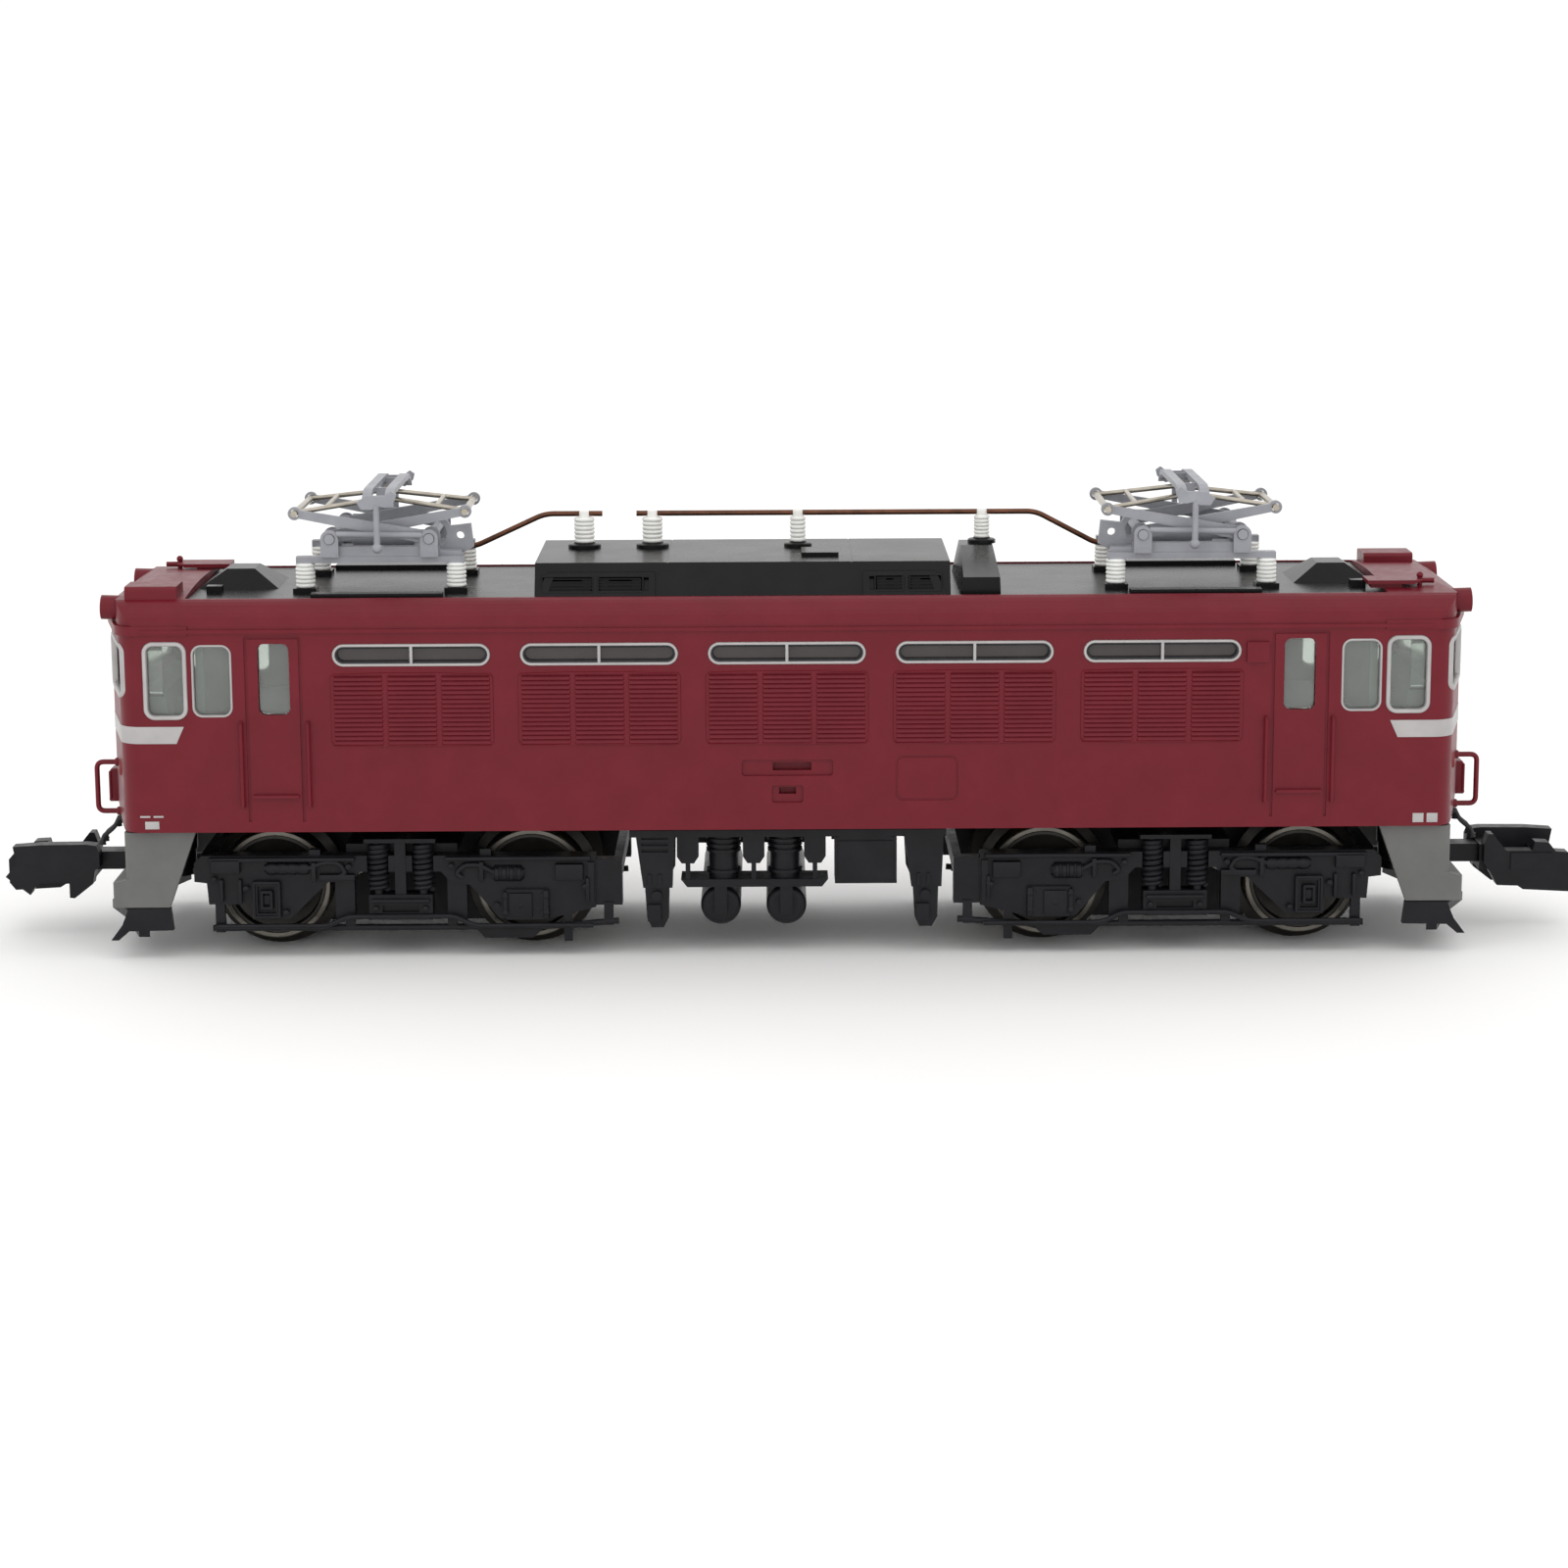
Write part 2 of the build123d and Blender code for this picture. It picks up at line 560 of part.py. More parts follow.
def make_roof_hood():
    """The long equipment hood with a pair of louvred grilles and the bushing pedestal."""
    low = DECK_Z + 0.1
    left, right = HOOD_X
    section = [(-HOOD_BASE_Y, low), (-HOOD_TOP_Y, HOOD_TOP_Z), (HOOD_TOP_Y, HOOD_TOP_Z), (HOOD_BASE_Y, low)]
    hood = prism_x(section, left, right)
    slope = (HOOD_BASE_Y - HOOD_TOP_Y) / (HOOD_TOP_Z - low)
    grille_top = 24.75
    proud = 0.28
    pieces = [hood]
    for x_low, x_high, lean_low, lean_high in ((left + 0.1, -8.4, 0.0, 0.7), (4.9, right - 0.25, 0.7, 0.0)):
        outline = [(x_low, low), (x_low + lean_high, grille_top), (x_high - lean_low, grille_top),
                   (x_high, low)]
        plate = prism_y(outline, -HOOD_BASE_Y - 1, 0)
        middle = (x_low + x_high) / 2
        window = prism_y([(x_low + 0.4 + lean_high * 0.6, low + 0.35),
                          (x_low + 0.4 + lean_high, grille_top - 0.3),
                          (middle - 0.2, grille_top - 0.3), (middle - 0.2, low + 0.35)], -9, 0)
        window += prism_y([(middle + 0.2, low + 0.35), (middle + 0.2, grille_top - 0.3),
                           (x_high - 0.4 - lean_low, grille_top - 0.3),
                           (x_high - 0.4 - lean_low * 0.6, low + 0.35)], -9, 0)
        face = [(-HOOD_BASE_Y - proud, low), (-HOOD_BASE_Y - proud + slope * (grille_top - low), grille_top),
                (-HOOD_TOP_Y + 2, grille_top), (-HOOD_BASE_Y + 2, low)]
        frame = plate & prism_x(face, left, right)
        pieces += both_sides(frame - window)
        slat_count = 4
        for index in range(slat_count):
            z = low + 0.45 + index * (grille_top - low - 0.75) / slat_count
            y = -HOOD_BASE_Y + slope * (z - low)
            slat = block(x_low + 0.9, x_high - 0.9, y - 0.18, y + 0.4, z, z + 0.12)
            pieces += both_sides(slat)
    seam = block(-0.05, 0.05, -HOOD_TOP_Y - 1.0, HOOD_TOP_Y + 1.0, HOOD_TOP_Z - 0.03, HOOD_TOP_Z + 0.5)
    hood = fused(pieces)
    for x in (-7.6, 4.2):
        hood -= Pos(x, 0, 0) * seam
    pedestal = prism_x([(-HOOD_BASE_Y, low), (-HOOD_BASE_Y, low + 1.1), (BUS_Y - 1.4, PEDESTAL_TOP_Z),
                        (BUS_Y + 1.4, PEDESTAL_TOP_Z), (BUS_Y + 2.2, low)], 11.1, 13.7)
    taper = prism_y([(11.1, low), (11.5, PEDESTAL_TOP_Z), (13.6, PEDESTAL_TOP_Z), (13.7, low)], -9, 9)
    hatch = block(1.0, 3.4, -3.2, -0.4, HOOD_TOP_Z - 0.1, HOOD_TOP_Z + 0.25)
    return grouped([hood + hatch, pedestal & taper])


def insulator(x, y, low, high, radius, sheds):
    """A ribbed porcelain post with a rounded cap."""
    core = 0.72 * radius
    outline = [(0, low), (core, low)]
    pitch = (high - low) / sheds
    for index in range(sheds):
        z = low + index * pitch
        outline += [(core, z + 0.15 * pitch), (radius, z + 0.35 * pitch), (radius, z + 0.6 * pitch)]
        outline += [(core, z + 0.85 * pitch)]
    outline += [(core, high), (0, high)]
    profile = make_face(Polyline(*[(px, 0, pz) for px, pz in outline], close=True).edges())
    return Pos(x, y, 0) * revolve(profile, Axis.Z, 360)


def panto_insulator_places():
    return [(end * PANTO_X + dx * PANTO_INSULATOR_X, side * PANTO_INSULATOR_Y)
            for end in ENDS for dx in ENDS for side in ENDS]


def make_roof_insulators():
    posts = []
    for x, radius, foot in BUS_POSTS:
        posts.append(insulator(x, BUS_Y, foot + BUS_FOOT_HEIGHT, BUS_POST_TOP, radius, 6))
    for x, y in panto_insulator_places():
        posts.append(insulator(x, y, RISER_TOP_Z, PANTO_FOOT_Z, PANTO_INSULATOR_R, 6))
    return grouped(posts)


def make_bus_clamps():
    """The dark feet and top clamps of the bus posts."""
    pieces = []
    for x, radius, foot in BUS_POSTS:
        pieces.append(tube_z(x, BUS_Y, foot, foot + BUS_FOOT_HEIGHT, radius + 0.3))
        cap = block(x - 0.32, x + 0.32, BUS_Y - 0.36, BUS_Y + 0.36, BUS_POST_TOP, BUS_Z + 0.32)
        pieces.append(cap - rod((x - 1, BUS_Y, BUS_Z), (x + 1, BUS_Y, BUS_Z), BUS_R + 0.01))
    return grouped(pieces)


def make_bus_bars():
    """Two copper bars that join the pantographs to the main switch."""
    end_x = PANTO_X - PANTO_INSULATOR_X - 0.1
    low_z = PANTO_FOOT_Z + 0.2
    first = wire([(-end_x, BUS_Y, low_z), (-end_x + 0.8, BUS_Y, low_z + 0.1), (-15.9, BUS_Y, BUS_Z),
                  (-12.1, BUS_Y, BUS_Z)], BUS_R)
    second = wire([(-9.85, BUS_Y, BUS_Z), (16.5, BUS_Y, BUS_Z), (end_x - 0.8, BUS_Y, low_z + 0.1),
                   (end_x, BUS_Y, low_z)], BUS_R)
    return grouped([first, second])


def make_roof_vents():
    """Faceted ventilators above the cabs."""
    low = DECK_Z + 0.1
    high = 24.45
    bottom = [(33.0, low), (38.2, low), (36.5, high), (34.7, high)]
    body = prism_y(bottom, -2.6, 2.6)
    taper = prism_x([(-2.6, low), (-1.3, high), (1.3, high), (2.6, low)], 30, 40)
    return grouped(both_ends(body & taper))


def make_roof_end_boxes():
    """The raised box, the stepped aerial plate and the whistle above each cab."""
    hull = fused([body_hull(0.0, BODY_BOTTOM_Z, 30), *headlight_cowls()[0]])
    box = fillet(block(38.8, 42.1, 5.2, 8.0, 22.3, 24.2).edges().filter_by(Axis.X), 0.25) - hull
    foot = block(37.4, 39.4, -6.5, -4.6, 23.0, 23.75) - hull
    plinth = prism_y([(37.2, 23.75), (40.2, 23.75), (40.7, 24.0), (37.2, 24.0)], -6.7, -4.4)
    plinth = plinth + foot
    whistle = rod((40.7, -5.6, 23.0), (40.7, -5.6, 24.2), 0.16) + Pos(40.7, -5.6, 24.2) * Sphere(0.22)
    flare = rod((40.5, -5.6, 23.85), (41.6, -5.6, 23.85), 0.17)
    base = block(40.3, 41.1, -6.0, -5.2, 22.8, 23.45)
    whistle = (whistle + flare + base) - hull
    return grouped(turned_pair(box) + turned_pair(plinth) + turned_pair(whistle))


# ---- pantographs ------------------------------------------------------------------------
def pivot_ear(x, y):
    """A round-headed ear that carries an arm's cross tube."""
    low = y - EAR_HALF
    high = y + EAR_HALF
    ear = block(x - EAR_R, x + EAR_R, low, high, PANTO_BAR_Z[0], PANTO_PIVOT_Z)
    ear += rod((x, low, PANTO_PIVOT_Z), (x, high, PANTO_PIVOT_Z), EAR_R)
    return ear - rod((x, y - 1, PANTO_PIVOT_Z), (x, y + 1, PANTO_PIVOT_Z), PANTO_SHAFT_R + RUNNING_GAP)


def lowering_lever(centre, inward):
    """The latch box and its guide arc at the end of the base nearest the hood."""
    low = PANTO_BAR_Z[0]
    box = [(5.9, 26.0), (5.75, 27.5), (4.35, 27.35), (4.1, 26.6), (4.2, low), (5.2, low)]
    lever = prism_y([(centre + inward * dx, z) for dx, z in box], -2.95, -2.35)
    hole_x = centre + inward * 5.05
    lever -= rod((hole_x, -4, 26.75), (hole_x, -1, 26.75), 0.26)
    arc_x = centre + inward * PANTO_PIVOT_X
    arc = rod((arc_x, -2.95, PANTO_PIVOT_Z), (arc_x, -2.5, PANTO_PIVOT_Z), 1.35)
    arc -= rod((arc_x, -4, PANTO_PIVOT_Z), (arc_x, -1, PANTO_PIVOT_Z), 1.0)
    x_low, x_high = sorted((arc_x - inward * 0.3, arc_x + inward * 2))
    arc = arc & block(x_low, x_high, -4, -1, low, 30)
    x_low, x_high = sorted((centre + inward * 3.3, centre + inward * 5.2))
    return fused([lever, arc, block(x_low, x_high, -PANTO_INSULATOR_Y, -2.35, low - 0.1, low + 0.3)])


def make_pantograph_bases():
    """Base frames on the insulators, with pivot ears, side rods, latch box and cylinder."""
    bases = []
    bar_low, bar_high = PANTO_BAR_Z
    for end in ENDS:
        centre = end * PANTO_X
        pieces = [lowering_lever(centre, -end)]
        for side in ENDS:
            y = side * PANTO_INSULATOR_Y
            foot_half = PANTO_INSULATOR_X + 0.55
            pieces.append(block(centre - foot_half, centre + foot_half, y - 0.4, y + 0.4, PANTO_FOOT_Z,
                                bar_low))
            pieces.append(block(centre - 3.8, centre + 3.8, y - 0.32, y + 0.32, bar_low - 0.1, bar_high))
            rod_y = side * (ARM_OUTER_Y + 0.5)
            pieces.append(rod((centre - 2.75, rod_y, 27.1), (centre + 2.75, rod_y, 27.0), 0.19))
            for dx in ENDS:
                x = centre + dx * PANTO_PIVOT_X
                for y_ear in (ARM_OUTER_Y + 0.48, ARM_INNER_Y - 0.48):
                    pieces.append(pivot_ear(x, side * y_ear))
                y_low, y_high = sorted((side * 2.9, side * 5.0))
                pieces.append(block(x - 0.42, x + 0.42, y_low, y_high, bar_low, bar_low + 0.3))
        for x in (centre - 3.5, centre + 3.5):
            pieces.append(block(x - 0.3, x + 0.3, -PANTO_INSULATOR_Y, PANTO_INSULATOR_Y, bar_low - 0.2,
                                bar_low + 0.25))
        pieces.append(block(centre - 3.5, centre + 3.5, -0.5, 0.5, bar_low - 0.2, bar_low + 0.2))
        pieces.append(rod((centre - 2.2, 0, bar_high - 0.1), (centre + 1.8, 0, bar_high - 0.1), 0.45))
        bases.append(fused(pieces))
    return grouped(bases)


def lower_arm(centre, direction, arm_y):
    """A lower frame: its cross tube turns in the ears, its tapered arms end at the knee.

    direction is +1 for the frame whose tube is on the +X side and whose knee is on the -X side.
    """
    pivot_x = centre + direction * PANTO_PIVOT_X
    knee_x = centre - direction * KNEE_X
    tube_reach = ARM_OUTER_Y + 0.75
    pieces = [rod((pivot_x, -tube_reach, PANTO_PIVOT_Z), (pivot_x, tube_reach, PANTO_PIVOT_Z), PANTO_SHAFT_R)]
    along = Vector(knee_x - pivot_x, 0, KNEE_Z - PANTO_PIVOT_Z).normalized()
    across = Vector(-along.Z, 0, along.X)
    for side in ENDS:
        y_low = side * arm_y - 0.17
        outline = []
        for x, z, half in ((pivot_x, PANTO_PIVOT_Z, 0.42), (knee_x, KNEE_Z, 0.26)):
            outline.append((x + across.X * half, z + across.Z * half))
            outline.append((x - across.X * half, z - across.Z * half))
        outline = [outline[0], outline[1], outline[3], outline[2]]
        arm = prism_y(outline, y_low, y_low + 0.34)
        arm += rod((pivot_x, y_low, PANTO_PIVOT_Z), (pivot_x, y_low + 0.34, PANTO_PIVOT_Z), 0.42)
        arm += rod((knee_x, y_low, KNEE_Z), (knee_x, y_low + 0.34, KNEE_Z), 0.42)
        bore = rod((knee_x, y_low - 1, KNEE_Z), (knee_x, y_low + 1.34, KNEE_Z), PIVOT_PIN_R + RUNNING_GAP)
        pieces.append(arm - bore)
    return fused(pieces)


def upper_arm(centre, direction, arm_y, head_y):
    """An upper frame of round wire from the knee pin to the head, braced across."""
    knee_x = centre - direction * KNEE_X
    reach = arm_y + 0.42
    pieces = [rod((knee_x, -reach, KNEE_Z), (knee_x, reach, KNEE_Z), PIVOT_PIN_R)]
    inner = arm_y - 0.45
    top_x = centre
    for side in ENDS:
        pieces.append(rod((knee_x, side * inner, KNEE_Z), (top_x, side * head_y, HEAD_PIVOT_Z), WIRE_R))
        eye = rod((top_x, side * head_y - 0.13, HEAD_PIVOT_Z), (top_x, side * head_y + 0.13, HEAD_PIVOT_Z),
                  0.40)
        bore_r = PIVOT_PIN_R + (RUNNING_GAP if direction > 0 else HEAD_FLOAT)
        bore = rod((top_x, side * head_y - 1, HEAD_PIVOT_Z), (top_x, side * head_y + 1, HEAD_PIVOT_Z), bore_r)
        pieces.append(eye)
        pieces.append(bore)
    frame = fused([pieces[0], pieces[1], pieces[4], pieces[2], pieces[5]])
    cross_x = knee_x + (top_x - knee_x) * 0.35
    cross_z = KNEE_Z + (HEAD_PIVOT_Z - KNEE_Z) * 0.35
    cross_y = inner + (head_y - inner) * 0.35
    frame += rod((cross_x, -cross_y, cross_z), (cross_x, cross_y, cross_z), WIRE_R)
    return frame - pieces[3] - pieces[6]


def head_section(y):
    """Height of the collector strips: level in the middle, drooping at the ends."""
    flat = 0.68 * HEAD_HALF_WIDTH
    excess = max(abs(y) - flat, 0) / (HEAD_HALF_WIDTH - flat)
    return HEAD_PIVOT_Z + 0.72 - 0.7 * excess ** 1.8


def make_head(centre):
    """Two collector strips, their end plates and the hanging horns on a pivoted carrier."""
    lean = 1 if centre < 0 else -1
    pieces = [rod((centre, -2.95, HEAD_PIVOT_Z), (centre, 2.95, HEAD_PIVOT_Z), PIVOT_PIN_R)]
    steps = 24
    for dx, half in ((-0.62, 0.3), (0.8, 0.3)):
        x = centre + lean * dx
        upper = []
        lower = []
        for index in range(steps + 1):
            y = -HEAD_HALF_WIDTH + 2 * HEAD_HALF_WIDTH * index / steps
            z = head_section(y)
            upper.append((y, z + 0.16))
            lower.append((y, z - 0.18))
        pieces.append(prism_x(upper + lower[::-1], x - half, x + half))
    paddle = [(-1.25, 29.3), (-0.65, 29.72), (0.55, 29.72), (0.98, 30.02), (1.3, 29.8), (1.2, 29.4),
              (0.65, 28.95),
              (0.2, 29.05), (-0.3, 28.85), (-0.95, 28.85)]
    outline = [(centre + lean * dx, z) for dx, z in paddle]
    for side in ENDS:
        y = side * 2.95
        hanger = block(centre - 0.95, centre + 0.95, y - 0.12, y + 0.12, HEAD_PIVOT_Z + 0.5,
                       HEAD_PIVOT_Z + 0.75)
        hanger += block(centre - 0.3, centre + 0.3, y - 0.12, y + 0.12, HEAD_PIVOT_Z - 0.25,
                        HEAD_PIVOT_Z + 0.6)
        pieces.append(hanger)
        y_low, y_high = sorted((side * (HEAD_HALF_WIDTH - 0.3), side * HEAD_HALF_WIDTH))
        pieces.append(prism_y(outline, y_low, y_high))
        horn_y = side * (HEAD_HALF_WIDTH - 0.15)
        pieces.append(rod((centre, horn_y, 26.45), (centre, horn_y, 29.1), 0.2))
        pieces.append(Pos(centre, horn_y, 26.35) * Sphere(0.33))
    return fused(pieces)


# ---- gears ------------------------------------------------------------------------------
def involute_angle(base_r, radius):
    """Polar angle of an involute at a radius."""
    roll = (max(radius * radius / (base_r * base_r) - 1, 0)) ** 0.5
    return roll - atan2(roll, 1)


def gear_face(teeth):
    """A spur gear outline in the XZ plane about the origin, with one tooth along +X."""
    pitch_r = MODULE * teeth / 2
    base_r = pitch_r * cos(radians(PRESSURE_ANGLE))
    tip_r = pitch_r + 0.9 * MODULE
    root_r = pitch_r - 1.25 * MODULE
    half_pitch_tooth = (pi * MODULE - TOOTH_BACKLASH) / 4 / pitch_r
    flank_start = max(base_r, root_r)
    flank = []
    for step in range(5):
        radius = flank_start + (tip_r - flank_start) * step / 4
        turn = half_pitch_tooth + involute_angle(base_r, pitch_r) - involute_angle(base_r, radius)
        flank.append((radius, turn))
    if flank_start > root_r:
        flank.insert(0, (root_r, flank[0][1] + 0.02))
    points = []
    for tooth in range(teeth):
        centre = 2 * pi * tooth / teeth
        for radius, turn in flank:
            points.append((radius * cos(centre - turn), 0, radius * sin(centre - turn)))
        for radius, turn in reversed(flank):
            points.append((radius * cos(centre + turn), 0, radius * sin(centre + turn)))
    return make_face(Polyline(*points, close=True).edges())


def turn_xz(shape, angle):
    """Turn a shape in the XZ plane, anticlockwise as seen with X right and Z up."""
    return Rot(0, -degrees(angle), 0) * shape


def meshed_phase(parent_phase, parent_teeth, teeth, direction):
    """The tooth phase of a gear so that its gap meets the parent's tooth."""
    offset = (direction - parent_phase) * parent_teeth / (2 * pi)
    return direction + pi - (0.5 - offset) * 2 * pi / teeth


def spur_gear(teeth, phase, bore_r):
    face = turn_xz(gear_face(teeth), phase)
    gear = extrude(Pos(0, -GEAR_WIDTH / 2, 0) * face, amount=GEAR_WIDTH, dir=(0, 1, 0))
    return gear - rod((0, -5, 0), (0, 5, 0), bore_r) if bore_r else gear


WORM_WHEEL_R = MODULE * WORM_WHEEL_TEETH / 2
IDLER_R = MODULE * IDLER_TEETH / 2
AXLE_GEAR_R = MODULE * AXLE_TEETH / 2
WORM_LEAD = pi * MODULE
WORM_Z = WORM_WHEEL_Z + WORM_WHEEL_R + WORM_PITCH_R
WORM_TIP_R = WORM_PITCH_R + 0.9 * MODULE
WORM_ROOT_R = WORM_PITCH_R - 1.25 * MODULE


def idler_place():
    """Where the +X idler sits: in mesh with both the worm wheel and the axle gear."""
    half = WHEELBASE / 2
    rise = WORM_WHEEL_Z - AXLE_Z
    span = hypot(half, rise)
    from_axle = AXLE_GEAR_R + IDLER_R
    from_wheel = IDLER_R + WORM_WHEEL_R
    along = (from_axle ** 2 - from_wheel ** 2 + span ** 2) / (2 * span)
    off = (from_axle ** 2 - along ** 2) ** 0.5
    unit = (-half / span, rise / span)
    return (half + unit[0] * along - unit[1] * off, AXLE_Z + unit[1] * along + unit[0] * off)


WORM_WHEEL_PHASE = pi / 2 + pi / WORM_WHEEL_TEETH


def gear_phases(side):
    """Tooth phases of the idler and the axle gear on one side of the worm wheel."""
    idler_x, idler_z = idler_place()
    to_idler = atan2(idler_z - WORM_WHEEL_Z, side * idler_x)
    idler = meshed_phase(WORM_WHEEL_PHASE, WORM_WHEEL_TEETH, IDLER_TEETH, to_idler)
    to_axle = atan2(AXLE_Z - idler_z, side * (WHEELBASE / 2 - idler_x))
    axle = meshed_phase(idler, IDLER_TEETH, AXLE_TEETH, to_axle)
    return idler, axle


def make_worm_wheel(bogie_x):
    """The worm wheel, its teeth leaning with the worm's thread."""
    lean = WORM_LEAD / (2 * pi * WORM_PITCH_R) / WORM_WHEEL_R
    slices = 5
    width = GEAR_WIDTH / slices
    discs = []
    for index in range(slices):
        y = (index + 0.5) * width - GEAR_WIDTH / 2
        face = turn_xz(gear_face(WORM_WHEEL_TEETH), WORM_WHEEL_PHASE - lean * y)
        discs.append(extrude(Pos(0, y - width / 2, 0) * face, amount=width, dir=(0, 1, 0)))
    arbor = rod((0, -CASE_OUTER_Y + 0.1, 0), (0, CASE_OUTER_Y - 0.1, 0), ARBOR_R)
    return Pos(bogie_x, 0, WORM_WHEEL_Z) * fused(discs + [arbor])


def make_idler(bogie_x, side):
    idler_x, idler_z = idler_place()
    arbor = rod((0, -CASE_OUTER_Y + 0.1, 0), (0, CASE_OUTER_Y - 0.1, 0), ARBOR_R)
    gear = spur_gear(IDLER_TEETH, gear_phases(side)[0], 0)
    return Pos(bogie_x + side * idler_x, 0, idler_z) * (gear + arbor)


def wheel_disc():
    """One wheel revolved about Y: flange on the inside, dished web and a raised hub."""
    inner = WHEEL_INNER_Y
    outer = WHEEL_OUTER_Y
    flange_r = TREAD_R + FLANGE_DEPTH
    outline = [(AXLE_R, inner), (flange_r - 0.2, inner), (flange_r, inner + 0.18)]
    outline += [(flange_r - 0.06, inner + 0.36), (TREAD_R + 0.05, inner + FLANGE_WIDTH + 0.06)]
    outline += [(TREAD_R, inner + FLANGE_WIDTH + 0.2), (TREAD_R - 0.08, outer), (TREAD_R - 0.62, outer)]
    outline += [(TREAD_R - 0.72, outer - 0.55), (1.75, outer - 0.75), (1.55, outer - 0.15),
                (AXLE_R, outer - 0.15)]
    profile = make_face(Polyline(*[(r, y, 0) for r, y in outline], close=True).edges())
    return revolve(profile, Axis.Y, 360)


def make_wheelset(bogie_x, side):
    """Axle, drive gear and a pair of wheels."""
    tip = SIDEFRAME_Y[0] - AXLE_TIP_GAP
    axle = rod((0, -WHEEL_OUTER_Y + 0.1, 0), (0, WHEEL_OUTER_Y - 0.1, 0), AXLE_R)
    points = rod((0, -tip, 0), (0, tip, 0), 0.4)
    gear = spur_gear(AXLE_TEETH, gear_phases(side)[1], AXLE_R)
    place = Pos(bogie_x + side * WHEELBASE / 2, 0, AXLE_Z)
    wheels = both_sides(wheel_disc())
    return place * grouped([axle + points, gear, *wheels])


def make_worms():
    """A worm over each bogie on its own short shaft, with a square drive tail."""
    thread_length = WORM_TURNS * WORM_LEAD
    path = Helix(pitch=WORM_LEAD, height=thread_length, radius=WORM_ROOT_R)
    start = Plane(origin=path @ 0, x_dir=(1, 0, 0), z_dir=path % 0)
    depth = WORM_TIP_R - WORM_ROOT_R
    tooth_at_pitch = (pi * MODULE - TOOTH_BACKLASH) / 2
    lean = tan(radians(PRESSURE_ANGLE))
    half_root = tooth_at_pitch / 2 + (WORM_PITCH_R - WORM_ROOT_R) * lean
    half_tip = half_root - depth * lean
    outline = [(-0.05, -half_root - 0.02), (depth, -half_tip), (depth, half_tip), (-0.05, half_root + 0.02)]
    profile = start * make_face(Polyline(*outline, close=True).edges())
    thread = Pos(0, 0, -thread_length / 2) * sweep(profile, path=path, is_frenet=True)
    core = Cylinder(WORM_ROOT_R, WORM_LENGTH)
    worm = Rot(0, 90, 0) * (thread + core)
    pieces = []
    for end in ENDS:
        x = end * BOGIE_X
        shaft = rod((x - WORM_LENGTH / 2 - 2.2, 0, WORM_Z), (x + WORM_LENGTH / 2 + 2.2, 0, WORM_Z), SHAFT_R)
        tail_x = x - end * (WORM_LENGTH / 2 + 2.2)
        cup = rod((tail_x, 0, WORM_Z), (tail_x - end * 1.6, 0, WORM_Z), 1.25)
        pieces.append(fused([Pos(x, 0, WORM_Z) * worm, shaft, cup]))
    return grouped(pieces)


def make_armature_shaft():
    """The motor's shaft with its armature stack, commutator and cardan ends."""
    inner_end = BOGIE_X - WORM_LENGTH / 2 - 2.2 - 1.6
    shaft = rod((-inner_end + 0.1, 0, WORM_Z), (inner_end - 0.1, 0, WORM_Z), SHAFT_R)
    stack = rod((-MOTOR_HALF_LENGTH + 2.6, 0, WORM_Z), (MOTOR_HALF_LENGTH - 1.6, 0, WORM_Z), 3.2)
    for index in range(5):
        angle = 2 * pi * index / 5
        y = 3.3 * cos(angle)
        z = WORM_Z + 3.3 * sin(angle)
        stack -= rod((-9, y, z), (9, y, z), 0.7)
    commutator = rod((-MOTOR_HALF_LENGTH + 1.0, 0, WORM_Z), (-MOTOR_HALF_LENGTH + 2.7, 0, WORM_Z), 1.4)
    return fused([shaft, stack, commutator])


def make_flywheels():
    x_low, x_high = FLYWHEEL_X
    wheel = rod((x_low, 0, WORM_Z), (x_high, 0, WORM_Z), FLYWHEEL_R)
    wheel -= rod((x_low - 1, 0, WORM_Z), (x_high + 1, 0, WORM_Z), SHAFT_R)
    rim = [edge for edge in wheel.edges() if edge.length > 2 * pi * FLYWHEEL_R * 0.9]
    return grouped(both_ends(chamfer(rim, 0.3)))


def make_motor_case():
    """A flat-sided can with end caps and shaft bushes."""
    half = MOTOR_HALF_LENGTH
    can = rod((-half, 0, WORM_Z), (half, 0, WORM_Z), 6.2)
    can &= block(-half, half, -MOTOR_HALF_WIDTH, MOTOR_HALF_WIDTH, WORM_Z - MOTOR_HALF_HEIGHT,
                 WORM_Z + MOTOR_HALF_HEIGHT)
    hollow = rod((-half + 0.8, 0, WORM_Z), (half - 0.8, 0, WORM_Z), 4.2)
    bush = rod((-half - 0.7, 0, WORM_Z), (half + 0.7, 0, WORM_Z), 1.6)
    bore = rod((-half - 2, 0, WORM_Z), (half + 2, 0, WORM_Z), SHAFT_R + RUNNING_GAP)
    return (can + bush) - hollow - bore


def make_worm_bearings():
    """Flanged bushes that carry both ends of each worm shaft."""
    pieces = []
    for end in ENDS:
        for offset in (-WORM_LENGTH / 2 - 1.0, WORM_LENGTH / 2 + 1.0):
            x = end * BOGIE_X + offset
            bush = rod((x - 0.6, 0, WORM_Z), (x + 0.6, 0, WORM_Z), 1.5)
            bush += rod((x - 0.2, 0, WORM_Z), (x + 0.2, 0, WORM_Z), 1.9)
            pieces.append(bush - rod((x - 2, 0, WORM_Z), (x + 2, 0, WORM_Z), SHAFT_R + RUNNING_GAP))
    return grouped(pieces)


# ---- chassis ----------------------------------------------------------------------------
CHASSIS_SCREW_PLACES = ((-19.5, 16.2), (19.5, 16.2), (-34.5, 12.4), (34.5, 12.4))


